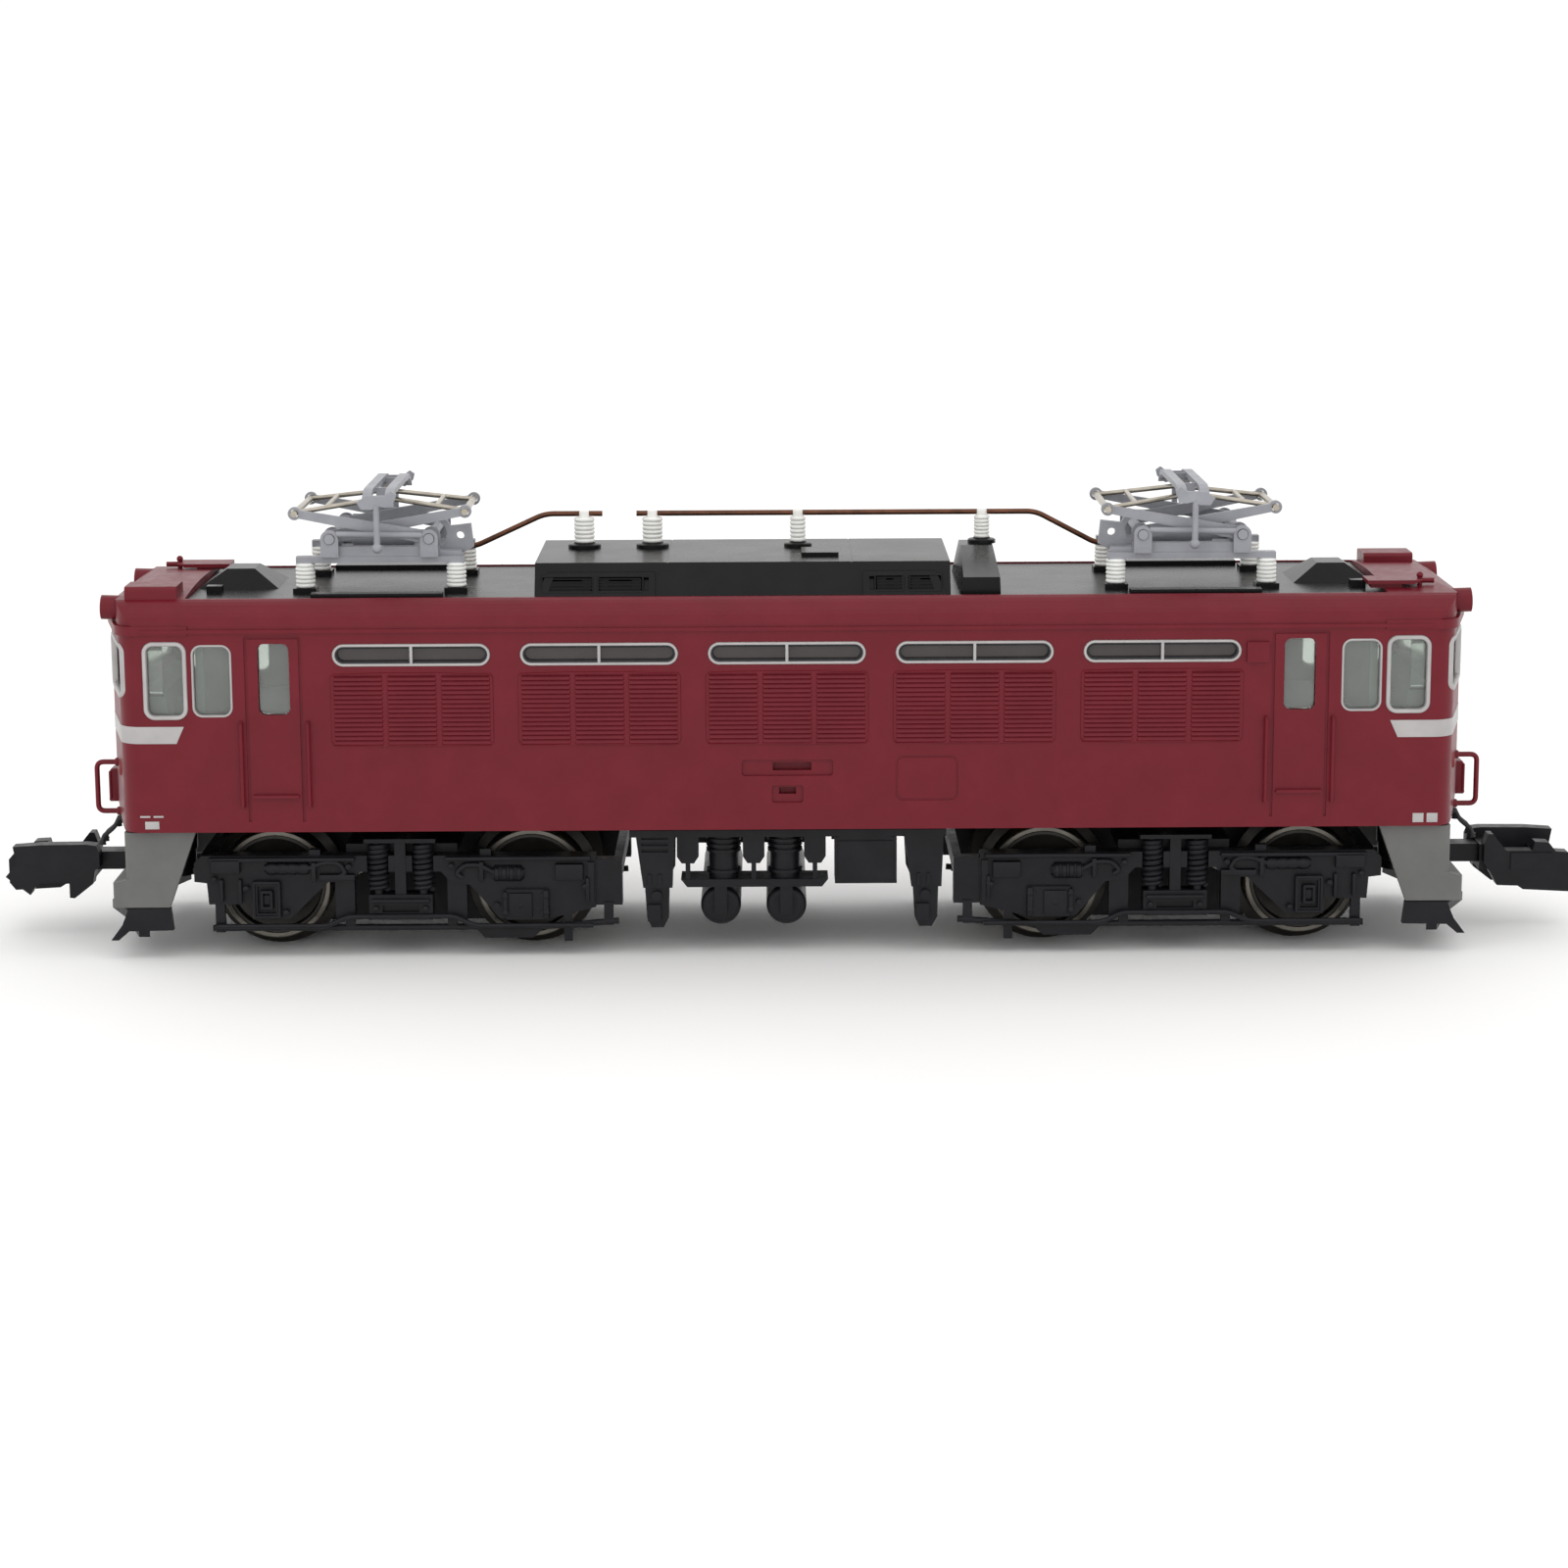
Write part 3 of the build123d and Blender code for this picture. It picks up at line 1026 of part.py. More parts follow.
def chassis_half(side):
    """One cast half, hollowed for the motor, flywheels, worms and bogie towers."""
    split = 0.02
    low_y, high_y = sorted((side * split, side * CHASSIS_HALF_WIDTH))
    half = block(-CHASSIS_HALF_LENGTH, CHASSIS_HALF_LENGTH, low_y, high_y, CHASSIS_BOTTOM_Z, CHASSIS_TOP_Z)
    air = 0.25
    cuts = [block(-MOTOR_HALF_LENGTH - 0.75, MOTOR_HALF_LENGTH + 0.75, -MOTOR_HALF_WIDTH, MOTOR_HALF_WIDTH,
                  CHASSIS_BOTTOM_Z - 2, WORM_Z + MOTOR_HALF_HEIGHT)]
    cuts.append(rod((-FLYWHEEL_X[1] - air, 0, WORM_Z), (FLYWHEEL_X[1] + air, 0, WORM_Z), FLYWHEEL_R + air))
    cuts.append(rod((-BOGIE_X, 0, WORM_Z), (BOGIE_X, 0, WORM_Z), 1.5))
    for end in ENDS:
        centre = end * BOGIE_X
        cuts.append(block(centre - WORM_LENGTH / 2 - 0.1, centre + WORM_LENGTH / 2 + 0.1, -2.4, 2.4,
                          CHASSIS_BOTTOM_Z, WORM_Z + 2.4))
        cuts.append(tube_z(centre, 0, CHASSIS_BOTTOM_Z - 1, CHASSIS_BOTTOM_Z + 1.0, PIVOT_COLLAR_R + 0.08))
        cuts.append(tube_z(centre, 0, CHASSIS_BOTTOM_Z + 0.95, 12.15, PIVOT_COLLAR_R + 0.9))
        for offset in (-WORM_LENGTH / 2 - 1.0, WORM_LENGTH / 2 + 1.0):
            x = centre + offset
            cuts.append(rod((x - 0.6, 0, WORM_Z), (x + 0.6, 0, WORM_Z), 1.5))
            cuts.append(rod((x - 0.2, 0, WORM_Z), (x + 0.2, 0, WORM_Z), 1.9))
        inner_x = centre - end * (WORM_LENGTH / 2 + 1.6)
        cuts.append(rod((inner_x, 0, WORM_Z), (inner_x - end * 2.6, 0, WORM_Z), 1.55))
        outer_x = centre + end * WORM_LENGTH / 2
        cuts.append(rod((outer_x, 0, WORM_Z), (outer_x + end * 2.4, 0, WORM_Z), 1.1))
    for x, z in CHASSIS_SCREW_PLACES:
        cuts.append(rod((x, -10, z), (x, 10, z), SCREW_R))
        cuts.append(rod((x, -CHASSIS_HALF_WIDTH - 1, z), (x, -CHASSIS_HALF_WIDTH + 0.8, z),
                        SCREW_HEAD_R + 0.1))
        cuts.append(rod((x, CHASSIS_HALF_WIDTH + 1, z), (x, CHASSIS_HALF_WIDTH - 0.8, z), SCREW_HEAD_R + 0.1))
    for end in ENDS:
        shelf = end * CHASSIS_HALF_LENGTH
        x_low, x_high = sorted((shelf - end * 5.7, shelf + end))
        cuts.append(block(x_low, x_high, -20, 20, 15.2, 30))
    return half.cut(*cuts)


SCREW_R = 0.5
SCREW_HEAD_R = 0.95


def make_chassis_screws():
    pieces = []
    for x, z in CHASSIS_SCREW_PLACES:
        face = -CHASSIS_HALF_WIDTH + 0.8
        screw = rod((x, face, z), (x, CHASSIS_HALF_WIDTH - 1.0, z), SCREW_R)
        screw += rod((x, face - 0.55, z), (x, face, z), SCREW_HEAD_R)
        screw -= block(x - 0.7, x + 0.7, face - 1, face - 0.3, z - 0.1, z + 0.1)
        pieces.append(screw)
    return grouped(pieces)


def make_light_units():
    """A circuit board on the chassis and a clear guide to the lamps at each end."""
    board = block(-30.0, 30.0, -3.2, 3.2, CHASSIS_TOP_Z + 0.1, CHASSIS_TOP_Z + 0.5)
    lamp = block(29.0, 30.5, -0.9, 0.9, CHASSIS_TOP_Z + 0.5, CHASSIS_TOP_Z + 1.5)
    coil = rod((-22, -1.9, CHASSIS_TOP_Z + 1.0), (-19.4, -1.9, CHASSIS_TOP_Z + 1.0), 0.5)
    pieces = [fused([board, *both_ends(lamp), *four_corners(coil)])]
    guide = block(30.7, 39.4, -1.0, 1.0, 20.85, 21.35)
    guide += block(38.6, 39.4, -HEADLIGHT_Y + 0.4, HEADLIGHT_Y - 0.4, 20.85, 21.35)
    pieces += both_ends(guide)
    return grouped(pieces)


# ---- bogies -----------------------------------------------------------------------------
def make_gear_case(bogie_x):
    """The black gear box with its tower, pivot collar and snap lugs."""
    half_base = WHEELBASE / 2
    lower = block(-half_base - 1.9, half_base + 1.9, -CASE_OUTER_Y, CASE_OUTER_Y, 1.05, 7.6)
    tower = block(-4.35, 4.35, -CASE_OUTER_Y, CASE_OUTER_Y, 7.0, 11.5)
    collar = tube_z(0, 0, CHASSIS_BOTTOM_Z - 0.9, CHASSIS_BOTTOM_Z - 0.05, PIVOT_COLLAR_R + 0.5)
    collar += tube_z(0, 0, CHASSIS_BOTTOM_Z - 0.5, CHASSIS_BOTTOM_Z + 1.05, PIVOT_COLLAR_R)
    for end in ENDS:
        x_low, x_high = sorted((end * (PIVOT_COLLAR_R - 0.8), end * (PIVOT_COLLAR_R + 0.35)))
        collar += block(x_low, x_high, -1.2, 1.2, CHASSIS_BOTTOM_Z + 1.04, 11.6)
    case = fused([lower, tower, collar])
    room = 0.25
    tip = 0.9 * MODULE
    idler_x, idler_z = idler_place()
    hollows = [rod((0, -CASE_INNER_Y, WORM_WHEEL_Z), (0, CASE_INNER_Y, WORM_WHEEL_Z),
                   WORM_WHEEL_R + tip + room)]
    bores = [rod((0, -5, WORM_WHEEL_Z), (0, 5, WORM_WHEEL_Z), ARBOR_R + RUNNING_GAP)]
    for side in ENDS:
        x = side * idler_x
        hollows.append(rod((x, -CASE_INNER_Y, idler_z), (x, CASE_INNER_Y, idler_z), IDLER_R + tip + room))
        bores.append(rod((x, -5, idler_z), (x, 5, idler_z), ARBOR_R + RUNNING_GAP))
        x = side * half_base
        hollows.append(rod((x, -CASE_INNER_Y, AXLE_Z), (x, CASE_INNER_Y, AXLE_Z), AXLE_GEAR_R + tip + room))
        bores.append(rod((x, -5, AXLE_Z), (x, 5, AXLE_Z), AXLE_R + RUNNING_GAP))
    mouth = block(-3.6, 3.6, -CASE_INNER_Y, CASE_INNER_Y, WORM_WHEEL_Z, 14)
    throat = block(-WORM_LENGTH / 2 - 0.4, WORM_LENGTH / 2 + 0.4, -2.3, 2.3, 11.45, 14)
    return Pos(bogie_x, 0, 0) * case.cut(*hollows, *bores, mouth, throat)


def frame_plate():
    """The side casting of a bogie: beam, pedestals and end box, pocketed for the springs."""
    face = -SIDEFRAME_Y[1]
    back = -SIDEFRAME_Y[0]
    low, high = BEAM_Z
    outline = [(-12.6, 3.2), (-12.6, high - 0.1), (12.8, high), (BOGIE_OUTER, high - 0.5),
               (BOGIE_OUTER, low + 0.05),
               (12.5, low - 0.05), (12.4, 3.5), (9.7, 3.5), (9.6, 2.5), (7.2, 2.5), (4.65, low), (3.2, low),
               (2.6, low + 0.65), (-2.6, low + 0.65), (-3.2, low), (-4.5, low - 0.25), (-6.4, 2.45),
               (-9.6, 2.45), (-12.4, 3.15)]
    plate = prism_y(outline, face + PAD_PROUD, back)
    plate += block(-BOGIE_INNER, -12.5, face + 0.4, back, 3.3, 6.3)
    for dx in (-SPRING_OFFSET, SPRING_OFFSET):
        plate -= tube_z(dx, SPRING_Y, SPRING_Z[0], SPRING_Z[1], SPRING_R + SPRING_ROOM)
    return plate


def axle_boxes():
    """The open square box over the outer axle and the stepped block over the inner one."""
    face = -SIDEFRAME_Y[1]
    outer = block(7.8, 9.46, face - 0.1, face + 0.6, 2.69, 5.02)
    outer -= block(8.05, 9.21, face - 1, face + 0.2, 2.95, 4.76)
    outer += rod((8.63, face, 3.85), (8.63, face + 0.3, 3.85), 0.3)
    inner = block(-9.56, -6.8, face, face + 0.5, 2.44, 4.44)
    inner += block(-8.46, -7.0, face - 0.15, face + 0.2, 2.57, 4.2)
    for x, z in ((-9.15, 2.9), (-9.15, 4.0), (7.4, 3.0), (9.9, 4.6), (-6.2, 3.4)):
        inner += rod((x, face - 0.05, z), (x, face + 0.4, z), 0.18)
    return [outer, inner]


def brake_rigging():
    """Cylinders, their levers, the shoe hangers and the low guard bar."""
    face = -SIDEFRAME_Y[1]
    line = face + 0.35
    pieces = [rod((-7.8, line, 5.47), (-6.1, line, 5.47), 0.56),
              rod((-8.0, line, 5.47), (-7.8, line, 5.47), 0.36),
              rod((5.9, line, 5.87), (8.5, line, 5.87), 0.42),
              rod((8.5, line, 5.87), (8.75, line, 5.87), 0.28),
              wire([(6.0, line, 5.87), (4.9, line, 6.35), (3.9, line, 6.3), (3.5, line, 5.7)], 0.15),
              wire([(-6.2, line, 5.47), (-5.1, line, 6.1), (-4.1, line, 6.05), (-3.6, line, 5.5)], 0.15)]
    for side in ENDS:
        low_u, high_u = sorted((side * 3.0, side * 4.25))
        pieces.append(block(low_u, high_u, face + 0.45, face + 1.2, 2.4, BEAM_Z[0] + 0.2))
        low_u, high_u = sorted((side * 5.15, side * 5.85))
        pieces.append(block(low_u, high_u, face + 0.3, face + 0.9, BEAM_Z[1] - 0.2, BEAM_Z[1] + 0.35))
    bar = face + 0.4
    guard = [(12.2, bar, 1.9), (-9.0, bar, 1.9), (-11.6, bar, 2.05), (-BOGIE_INNER + 0.25, bar, 2.25)]
    pieces.append(wire(guard, 0.21))
    pieces.append(prism_y([(-9.3, 1.9), (-8.5, 1.2), (-5.4, 1.2), (-4.7, 1.9)], bar - 0.2, bar + 0.2))
    for low_u, high_u, low_z, high_z in ((-11.05, -10.5, 0.95, 3.3), (11.4, 12.0, 1.65, 3.8),
                                         (-3.6, -3.0, 1.8, 2.6),
                                         (3.0, 3.6, 1.8, 2.6), (-13.7, -13.1, 2.0, 3.5)):
        pieces.append(block(low_u, high_u, bar - 0.15, bar + 0.35, low_z, high_z))
    return pieces


def side_frame():
    """The near side frame of a bogie about its own centre, its outer end at +X."""
    face = -SIDEFRAME_Y[1]
    back = -SIDEFRAME_Y[0]
    pieces = [frame_plate(), *axle_boxes(), *brake_rigging()]
    for low_u, high_u, low_z, high_z in ((10.3, 12.2, 5.6, 6.55), (-11.8, -10.0, 5.04, 6.1),
                                         (2.9, 5.2, 5.1, 5.5),
                                         (-12.5, -12.1, 3.5, 6.2)):
        pieces.append(block(low_u, high_u, face, face + 0.4, low_z, high_z))
    for side in ENDS:
        low_u, high_u = sorted((side * 2.9, side * 12.3))
        pieces.append(block(low_u, high_u, face + 0.1, face + 0.4, BEAM_Z[1] - 0.35, BEAM_Z[1] - 0.12))
    plank = block(-2.05, 2.05, face + 0.1, back, 2.45, SPRING_Z[0] - 0.1)
    plank -= block(-1.2, 1.2, face - 1, face + 0.45, 2.95, 3.4)
    pieces.append(plank)
    pieces.append(block(-0.35, 0.35, face + 0.2, face + 0.9, 3.9, SPRING_Z[1]))
    pieces.append(block(-2.3, 2.3, face + 0.05, back, SPRING_Z[1] + 0.02, SPRING_Z[1] + 0.28))
    for dx in (-SPRING_OFFSET, SPRING_OFFSET):
        pieces.append(tube_z(dx, SPRING_Y, SPRING_Z[0] - 0.3, SPRING_Z[1] + 0.2, SPRING_CORE_R))
    return fused(pieces)


def make_bogie_frame(bogie_x):
    """Two side frames on end stretchers and centre brackets that clip to the gear case."""
    near = side_frame()
    pieces = both_sides(near)
    inner_y = SIDEFRAME_Y[0] + 0.1
    low = BEAM_Z[0] + 0.2
    high = BEAM_Z[1] - 0.5
    pieces.append(block(BOGIE_OUTER - STRETCHER, BOGIE_OUTER, -inner_y, inner_y, low, high))
    pieces.append(block(-BOGIE_INNER, -BOGIE_INNER + STRETCHER, -inner_y, inner_y, low, high))
    for side in ENDS:
        y_low, y_high = sorted((side * CASE_OUTER_Y, side * inner_y))
        pieces.append(block(-3.6, 3.6, y_low, y_high, BEAM_Z[1] - 0.1, BEAM_Z[1] + 0.5))
    frame = fused(pieces)
    return Pos(bogie_x, 0, 0) * (frame if bogie_x > 0 else Rot(0, 0, 180) * frame)


def make_bogie_springs(bogie_x):
    """Four bolster coil springs."""
    low, high = SPRING_Z
    turn_r = SPRING_R - SPRING_WIRE_R
    rise = high - low - 2 * SPRING_WIRE_R
    path = Helix(pitch=rise / SPRING_COILS, height=rise, radius=turn_r)
    profile = Plane(origin=path @ 0, x_dir=(1, 0, 0), z_dir=path % 0) * Circle(SPRING_WIRE_R)
    coil = sweep(profile, path=path, is_frenet=True)
    coil = Pos(0, 0, low + SPRING_WIRE_R) * coil
    springs = []
    for dx in (-SPRING_OFFSET, SPRING_OFFSET):
        for y in (SPRING_Y, -SPRING_Y):
            springs.append(Pos(bogie_x + dx, y, 0) * coil)
    return grouped(springs)


# ---- underframe -------------------------------------------------------------------------
def sensor_post(x_low, x_high, slots):
    """A hanging post that narrows downwards, with cooling slots and a ragged foot, on the near side."""
    top = BODY_BOTTOM_Z - 0.25
    post = prism_y([(x_low, top), (x_low + 0.5, 4.5), (x_high - 0.15, 4.5), (x_high, top)], -8.35, -7.35)
    for row in range(slots):
        z = 7.9 - row * 0.42
        post -= block(x_low + 0.4, x_high - 0.4, -9, -8.15, z - 0.22, z)
    foot = [(x_low + 0.6, 4.6), (x_low + 0.72, 2.5), (x_low + 1.0, 1.85), (x_high - 0.75, 1.85),
            (x_high - 0.4, 2.5),
            (x_high - 0.35, 4.6)]
    post += prism_y(foot, -8.2, -7.45)
    middle = (x_low + x_high) / 2
    for dx in (-0.35, 0.3):
        post += block(middle + dx - 0.1, middle + dx + 0.1, -8.5, -8.2, 4.65, 5.4)
    post += block(middle - 0.5, middle + 0.35, -8.5, -8.1, 2.3, 3.4)
    return post + rod((middle + 0.1, -8.55, 4.0), (middle + 0.1, -8.1, 4.0), 0.32)


def make_underframe_equipment():
    """Posts, boxes and ribbed cylinders hung under the floor between the bogies."""
    top = BODY_BOTTOM_Z - 0.25
    tray = block(-10.2, 10.2, -8.3, 8.3, top - 0.45, top)
    tray += block(-9.6, 9.6, -4.5, 4.5, top - 0.5, CHASSIS_BOTTOM_Z - 0.02)
    tray -= block(-9.0, 9.0, -MOTOR_HALF_WIDTH - 0.1, MOTOR_HALF_WIDTH + 0.1, top - 0.1, CHASSIS_BOTTOM_Z + 1)
    pieces = [tray, *both_sides(sensor_post(-9.83, -7.3, 3)), *both_sides(sensor_post(7.46, 10.05, 0))]
    for x in CYLINDER_X:
        for side in ENDS:
            y = side * 6.95
            pieces.append(tube_z(x, y, 4.8, top, 0.95))
            for z in (5.35, 6.7, 7.05, 7.4):
                pieces.append(tube_z(x, y, z, z + 0.18, 1.12))
    for side in ENDS:
        y_low, y_high = sorted((side * 5.6, side * 8.2))
        pieces.append(prism_y([(-6.9, 5.0), (2.6, 5.0), (2.2, 4.5), (-6.5, 4.5)], y_low, y_high))
        panel_low, panel_high = sorted((side * 7.5, side * 8.15))
        for x in (-6.45, -2.2, 1.75):
            panel = [(x - 0.7, top), (x - 0.7, 6.5), (x - 0.4, 6.05), (x + 0.4, 6.05), (x + 0.7, 6.5),
                     (x + 0.7, top)]
            pieces.append(prism_y(panel, panel_low, panel_high))
            pieces.append(block(x - 0.15, x + 0.15, panel_low, panel_high, 4.9, 6.2))
        strap_low, strap_high = sorted((side * 7.8, side * 8.05))
        for x in TANK_X:
            pieces.append(block(x - 0.4, x + 0.4, strap_low, strap_high, 2.6, 4.6))
        battery = block(3.03, 7.02, y_low, y_high, 4.7, 7.75)
        lid_low, lid_high = sorted((side * 8.15, side * 8.32))
        battery += block(3.25, 6.8, lid_low, lid_high, 4.95, 7.5)
        pieces.append(battery)
        pieces.append(block(3.3, 6.7, y_low, y_high, 7.7, top))
    return fused(pieces)


def make_air_reservoirs():
    """Two dished-end tanks lying across the model."""
    tanks = []
    for x in TANK_X:
        tank = rod((x, -7.7, TANK_Z), (x, 7.7, TANK_Z), TANK_R)
        tanks.append(fillet([edge for edge in tank.edges() if edge.length > 6], 0.4))
    return grouped(tanks)


# ---- ends -------------------------------------------------------------------------------
def make_end_skirts():
    """Grey lower corner panels joined by a slotted front panel."""
    low_y, high_y = SKIRT_Y
    front = SKIRT_FRONT_X
    top = BODY_BOTTOM_Z - 0.1
    side_outline = [(38.0, top), (39.8, 3.5), (front + 0.7, 3.5), (front + 0.85, 4.6), (front + 0.85, 5.1),
                    (front, 5.3), (front, top)]
    plates = both_sides(prism_y(side_outline, low_y, high_y))
    front_plate = block(front - 0.7, front, -high_y, high_y, 3.5, top)
    lip = block(front - 0.6, front + 0.85, -high_y, high_y, 3.5, 5.1)
    lip -= block(front - 0.65, front + 0.15, -high_y + 0.6, high_y - 0.6, 3.4, 4.6)
    slot = block(30, 60, -3.4, 3.4, 3.0, 6.9)
    end = fused([*plates, front_plate, lip]) - slot
    corner_edges = end.edges().filter_by(Axis.Z)
    outer_edges = [edge for edge in corner_edges if abs(edge.center().Y) > high_y - 0.01]
    corners = [edge for edge in outer_edges if edge.center().X > front - 0.01]
    end = fillet(corners, 0.35) if corners else end
    return grouped(both_ends(end))


def make_snow_ploughs():
    """Black plough blades below the skirts, split for the coupler."""
    side = [(39.8, 3.4), (39.65, 1.95), (42.5, 1.9), (43.2, 1.3), (43.7, 1.3), (42.95, 2.3), (42.5, 3.4)]
    plates = both_sides(prism_y(side, SKIRT_Y[0], SKIRT_Y[0] + 0.55))
    lower = [(41.9, -8.6), (43.4, -4.0), (43.4, 4.0), (41.9, 8.6), (41.2, 8.6), (42.9, 3.7), (42.9, -3.7),
             (41.2, -8.6)]
    upper = [(42.3, -8.6), (44.3, -4.4), (44.3, 4.4), (42.3, 8.6), (41.4, 8.6), (43.1, 4.0), (43.1, -4.0),
             (41.4, -8.6)]
    front = prism_z(lower, 1.5, 3.4) + prism_z(upper, 2.5, 3.05)
    front -= block(30, 60, -2.6, 2.6, 2.4, 5)
    return grouped(both_ends(fused([*plates, front])))


def make_handrails():
    """Red rails and jumper boxes on the nose, and steps below the cab doors."""
    pieces = []
    face = BODY_HALF_LENGTH - (HANDRAIL_Y - NOSE_HALF_WIDTH) * tan(radians(NOSE_SWEEP))
    rail = wire([(face - 0.05, HANDRAIL_Y, 8.95), (HANDRAIL_X, HANDRAIL_Y, 8.95),
                 (HANDRAIL_X, HANDRAIL_Y, 12.2),
                 (face - 0.05, HANDRAIL_Y, 12.2)], 0.17)
    pieces += four_corners(rail - body_hull(0.0, BODY_BOTTOM_Z, 30))
    box = block(BODY_HALF_LENGTH, BODY_HALF_LENGTH + 0.7, 1.1, 2.4, 9.2, 11.4)
    pieces += four_corners(box)
    return grouped(pieces)


def make_brake_hoses():
    """Stiff moulded air hoses that hang from the underside of each nose."""
    hoses = []
    for y in (2.4, 3.6):
        x = BODY_HALF_LENGTH - 0.15
        route = [(x, y, BODY_BOTTOM_Z - 0.05), (x + 0.35, y, 7.75), (x + 1.1, y, 7.15), (x + 1.2, y, 6.75)]
        hose = wire(route, HOSE_R) + rod((x + 1.2, y, 6.8), (x + 1.2, y, 6.55), 0.24)
        hose += block(x - 0.6, x + 0.12, y - 0.2, y + 0.2, BODY_BOTTOM_Z - 0.3, BODY_BOTTOM_Z)
        hoses += four_corners(hose)
    return grouped(hoses)


def make_coupler(end):
    """A hook coupler: pivot eye, shank, a barbed cheek on one side and a boxed cheek on the other."""
    z = COUPLER_Z
    eye = tube_z(COUPLER_PIVOT_X, 0, z - 0.6, z + 0.6, 1.2)
    eye -= tube_z(COUPLER_PIVOT_X, 0, z - 2, z + 2, COUPLER_PIN_R + RUNNING_GAP)
    shank = block(COUPLER_PIVOT_X + 0.9, 46.4, -0.8, 0.8, z - 0.6, z + 0.6)
    barbed = [(45.5, 5.7), (45.7, 6.15), (46.4, 6.24), (49.4, 6.22), (51.2, 6.1), (51.0, 4.96), (51.75, 4.08),
              (50.15, 2.84), (49.92, 3.26), (49.49, 3.64), (47.55, 3.67), (47.55, 2.65), (47.22, 2.61),
              (45.98, 3.58), (45.82, 4.5), (45.5, 4.7)]
    boxed = [(46.1, 5.7), (46.35, 6.41), (46.67, 6.41), (47.57, 5.29), (49.3, 5.28), (49.46, 5.88),
             (50.37, 5.83),
             (50.85, 5.22), (51.65, 5.17), (COUPLER_TIP_X, 4.6), (COUPLER_TIP_X, 3.0), (51.75, 2.51),
             (48.75, 2.67), (48.38, 2.91), (47.01, 2.96), (46.72, 3.52), (46.1, 4.5)]
    near = prism_y(barbed, -2.1, -1.0) if end < 0 else prism_y(barbed, 1.0, 2.1)
    far_low, far_high = (1.0, 2.1) if end < 0 else (-2.1, -1.0)
    far = prism_y(boxed, far_low, far_high)
    plate_low, plate_high = (2.0, 2.22) if end < 0 else (-2.22, -2.0)
    far += block(47.86, 50.6, plate_low, plate_high, 4.02, 5.15)
    bridge = block(45.9, 47.1, -1.5, 1.5, 3.9, 5.6) + block(49.5, 50.7, -1.5, 1.5, 3.8, 5.1)
    coupler = fused([eye, shank, near, far, bridge])
    return coupler if end > 0 else mirror(coupler, about=Plane.YZ)


def make_coupler_mounts():
    """Pins under the nose that the couplers swing on, each with a keeper head."""
    pin = tube_z(COUPLER_PIVOT_X, 0, COUPLER_Z - 0.75, BODY_BOTTOM_Z + 0.4, COUPLER_PIN_R)
    pin += tube_z(COUPLER_PIVOT_X, 0, COUPLER_Z - 1.1, COUPLER_Z - 0.7, 1.0)
    pin += tube_z(COUPLER_PIVOT_X, 0, COUPLER_Z + 0.7, BODY_BOTTOM_Z + 0.4, 1.3)
    plate = block(COUPLER_PIVOT_X - 1.8, COUPLER_PIVOT_X + 0.7, -7.9, 7.9, BODY_BOTTOM_Z - 0.1,
                  BODY_BOTTOM_Z + 0.6)
    return grouped(both_ends(pin + plate))


# ---- build ------------------------------------------------------------------------------
save("body_shell", make_body_shell())
save("side_window_frames", make_side_window_frames())
save("side_window_glazing", make_side_window_glazing())
save("cab_window_frames", make_cab_window_frames())
save("cab_window_glazing", make_cab_window_glazing())
save("cab_interiors", make_cab_interiors())
save("headlight_lenses", make_headlight_lenses())
save("tail_light_lenses", make_tail_light_lenses())
save("roof_deck", make_roof_deck())
save("roof_hood", make_roof_hood())
save("roof_insulators", make_roof_insulators())
save("bus_clamps", make_bus_clamps())
save("bus_bars", make_bus_bars())
save("roof_vents", make_roof_vents())
save("roof_end_boxes", make_roof_end_boxes())
save("pantograph_bases", make_pantograph_bases())
save("handrails", make_handrails())
save("end_skirts", make_end_skirts())
save("snow_ploughs", make_snow_ploughs())
save("brake_hoses", make_brake_hoses())
save("underframe_equipment", make_underframe_equipment())
save("air_reservoirs", make_air_reservoirs())
save("chassis_left", chassis_half(1))
save("chassis_right", chassis_half(-1))
save("chassis_screws", make_chassis_screws())
save("motor_case", make_motor_case())
save("light_units", make_light_units())
save("worm_bearings", make_worm_bearings())
save("coupler_mounts", make_coupler_mounts())
save("armature_shaft", make_armature_shaft())
save("flywheels", make_flywheels())
save("worms", make_worms())
for bogie_name, bogie_end in (("front", -1), ("rear", 1)):
    centre_x = bogie_end * BOGIE_X
    save(f"bogie_{bogie_name}_frame", make_bogie_frame(centre_x))
    save(f"bogie_{bogie_name}_gear_case", make_gear_case(centre_x))
    save(f"bogie_{bogie_name}_springs", make_bogie_springs(centre_x))
    save(f"worm_wheel_{bogie_name}", make_worm_wheel(centre_x))
    for place_name, place in (("outer", bogie_end), ("inner", -bogie_end)):
        save(f"idler_{bogie_name}_{place_name}", make_idler(centre_x, place))
        save(f"wheelset_{bogie_name}_{place_name}", make_wheelset(centre_x, place))
    panto_x = bogie_end * PANTO_X
    save(f"pantograph_{bogie_name}_lower_a", lower_arm(panto_x, 1, ARM_OUTER_Y))
    save(f"pantograph_{bogie_name}_lower_b", lower_arm(panto_x, -1, ARM_INNER_Y))
    save(f"pantograph_{bogie_name}_upper_a", upper_arm(panto_x, 1, ARM_OUTER_Y, 2.45))
    save(f"pantograph_{bogie_name}_upper_b", upper_arm(panto_x, -1, ARM_INNER_Y, 1.95))
    save(f"pantograph_{bogie_name}_head", make_head(panto_x))
    save(f"coupler_{bogie_name}", make_coupler(bogie_end))
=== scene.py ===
"""A 1:150 electric locomotive for 9 mm track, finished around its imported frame."""

import json
import math

import bmesh
import bpy
import numpy as np
from mathutils import Matrix, Vector


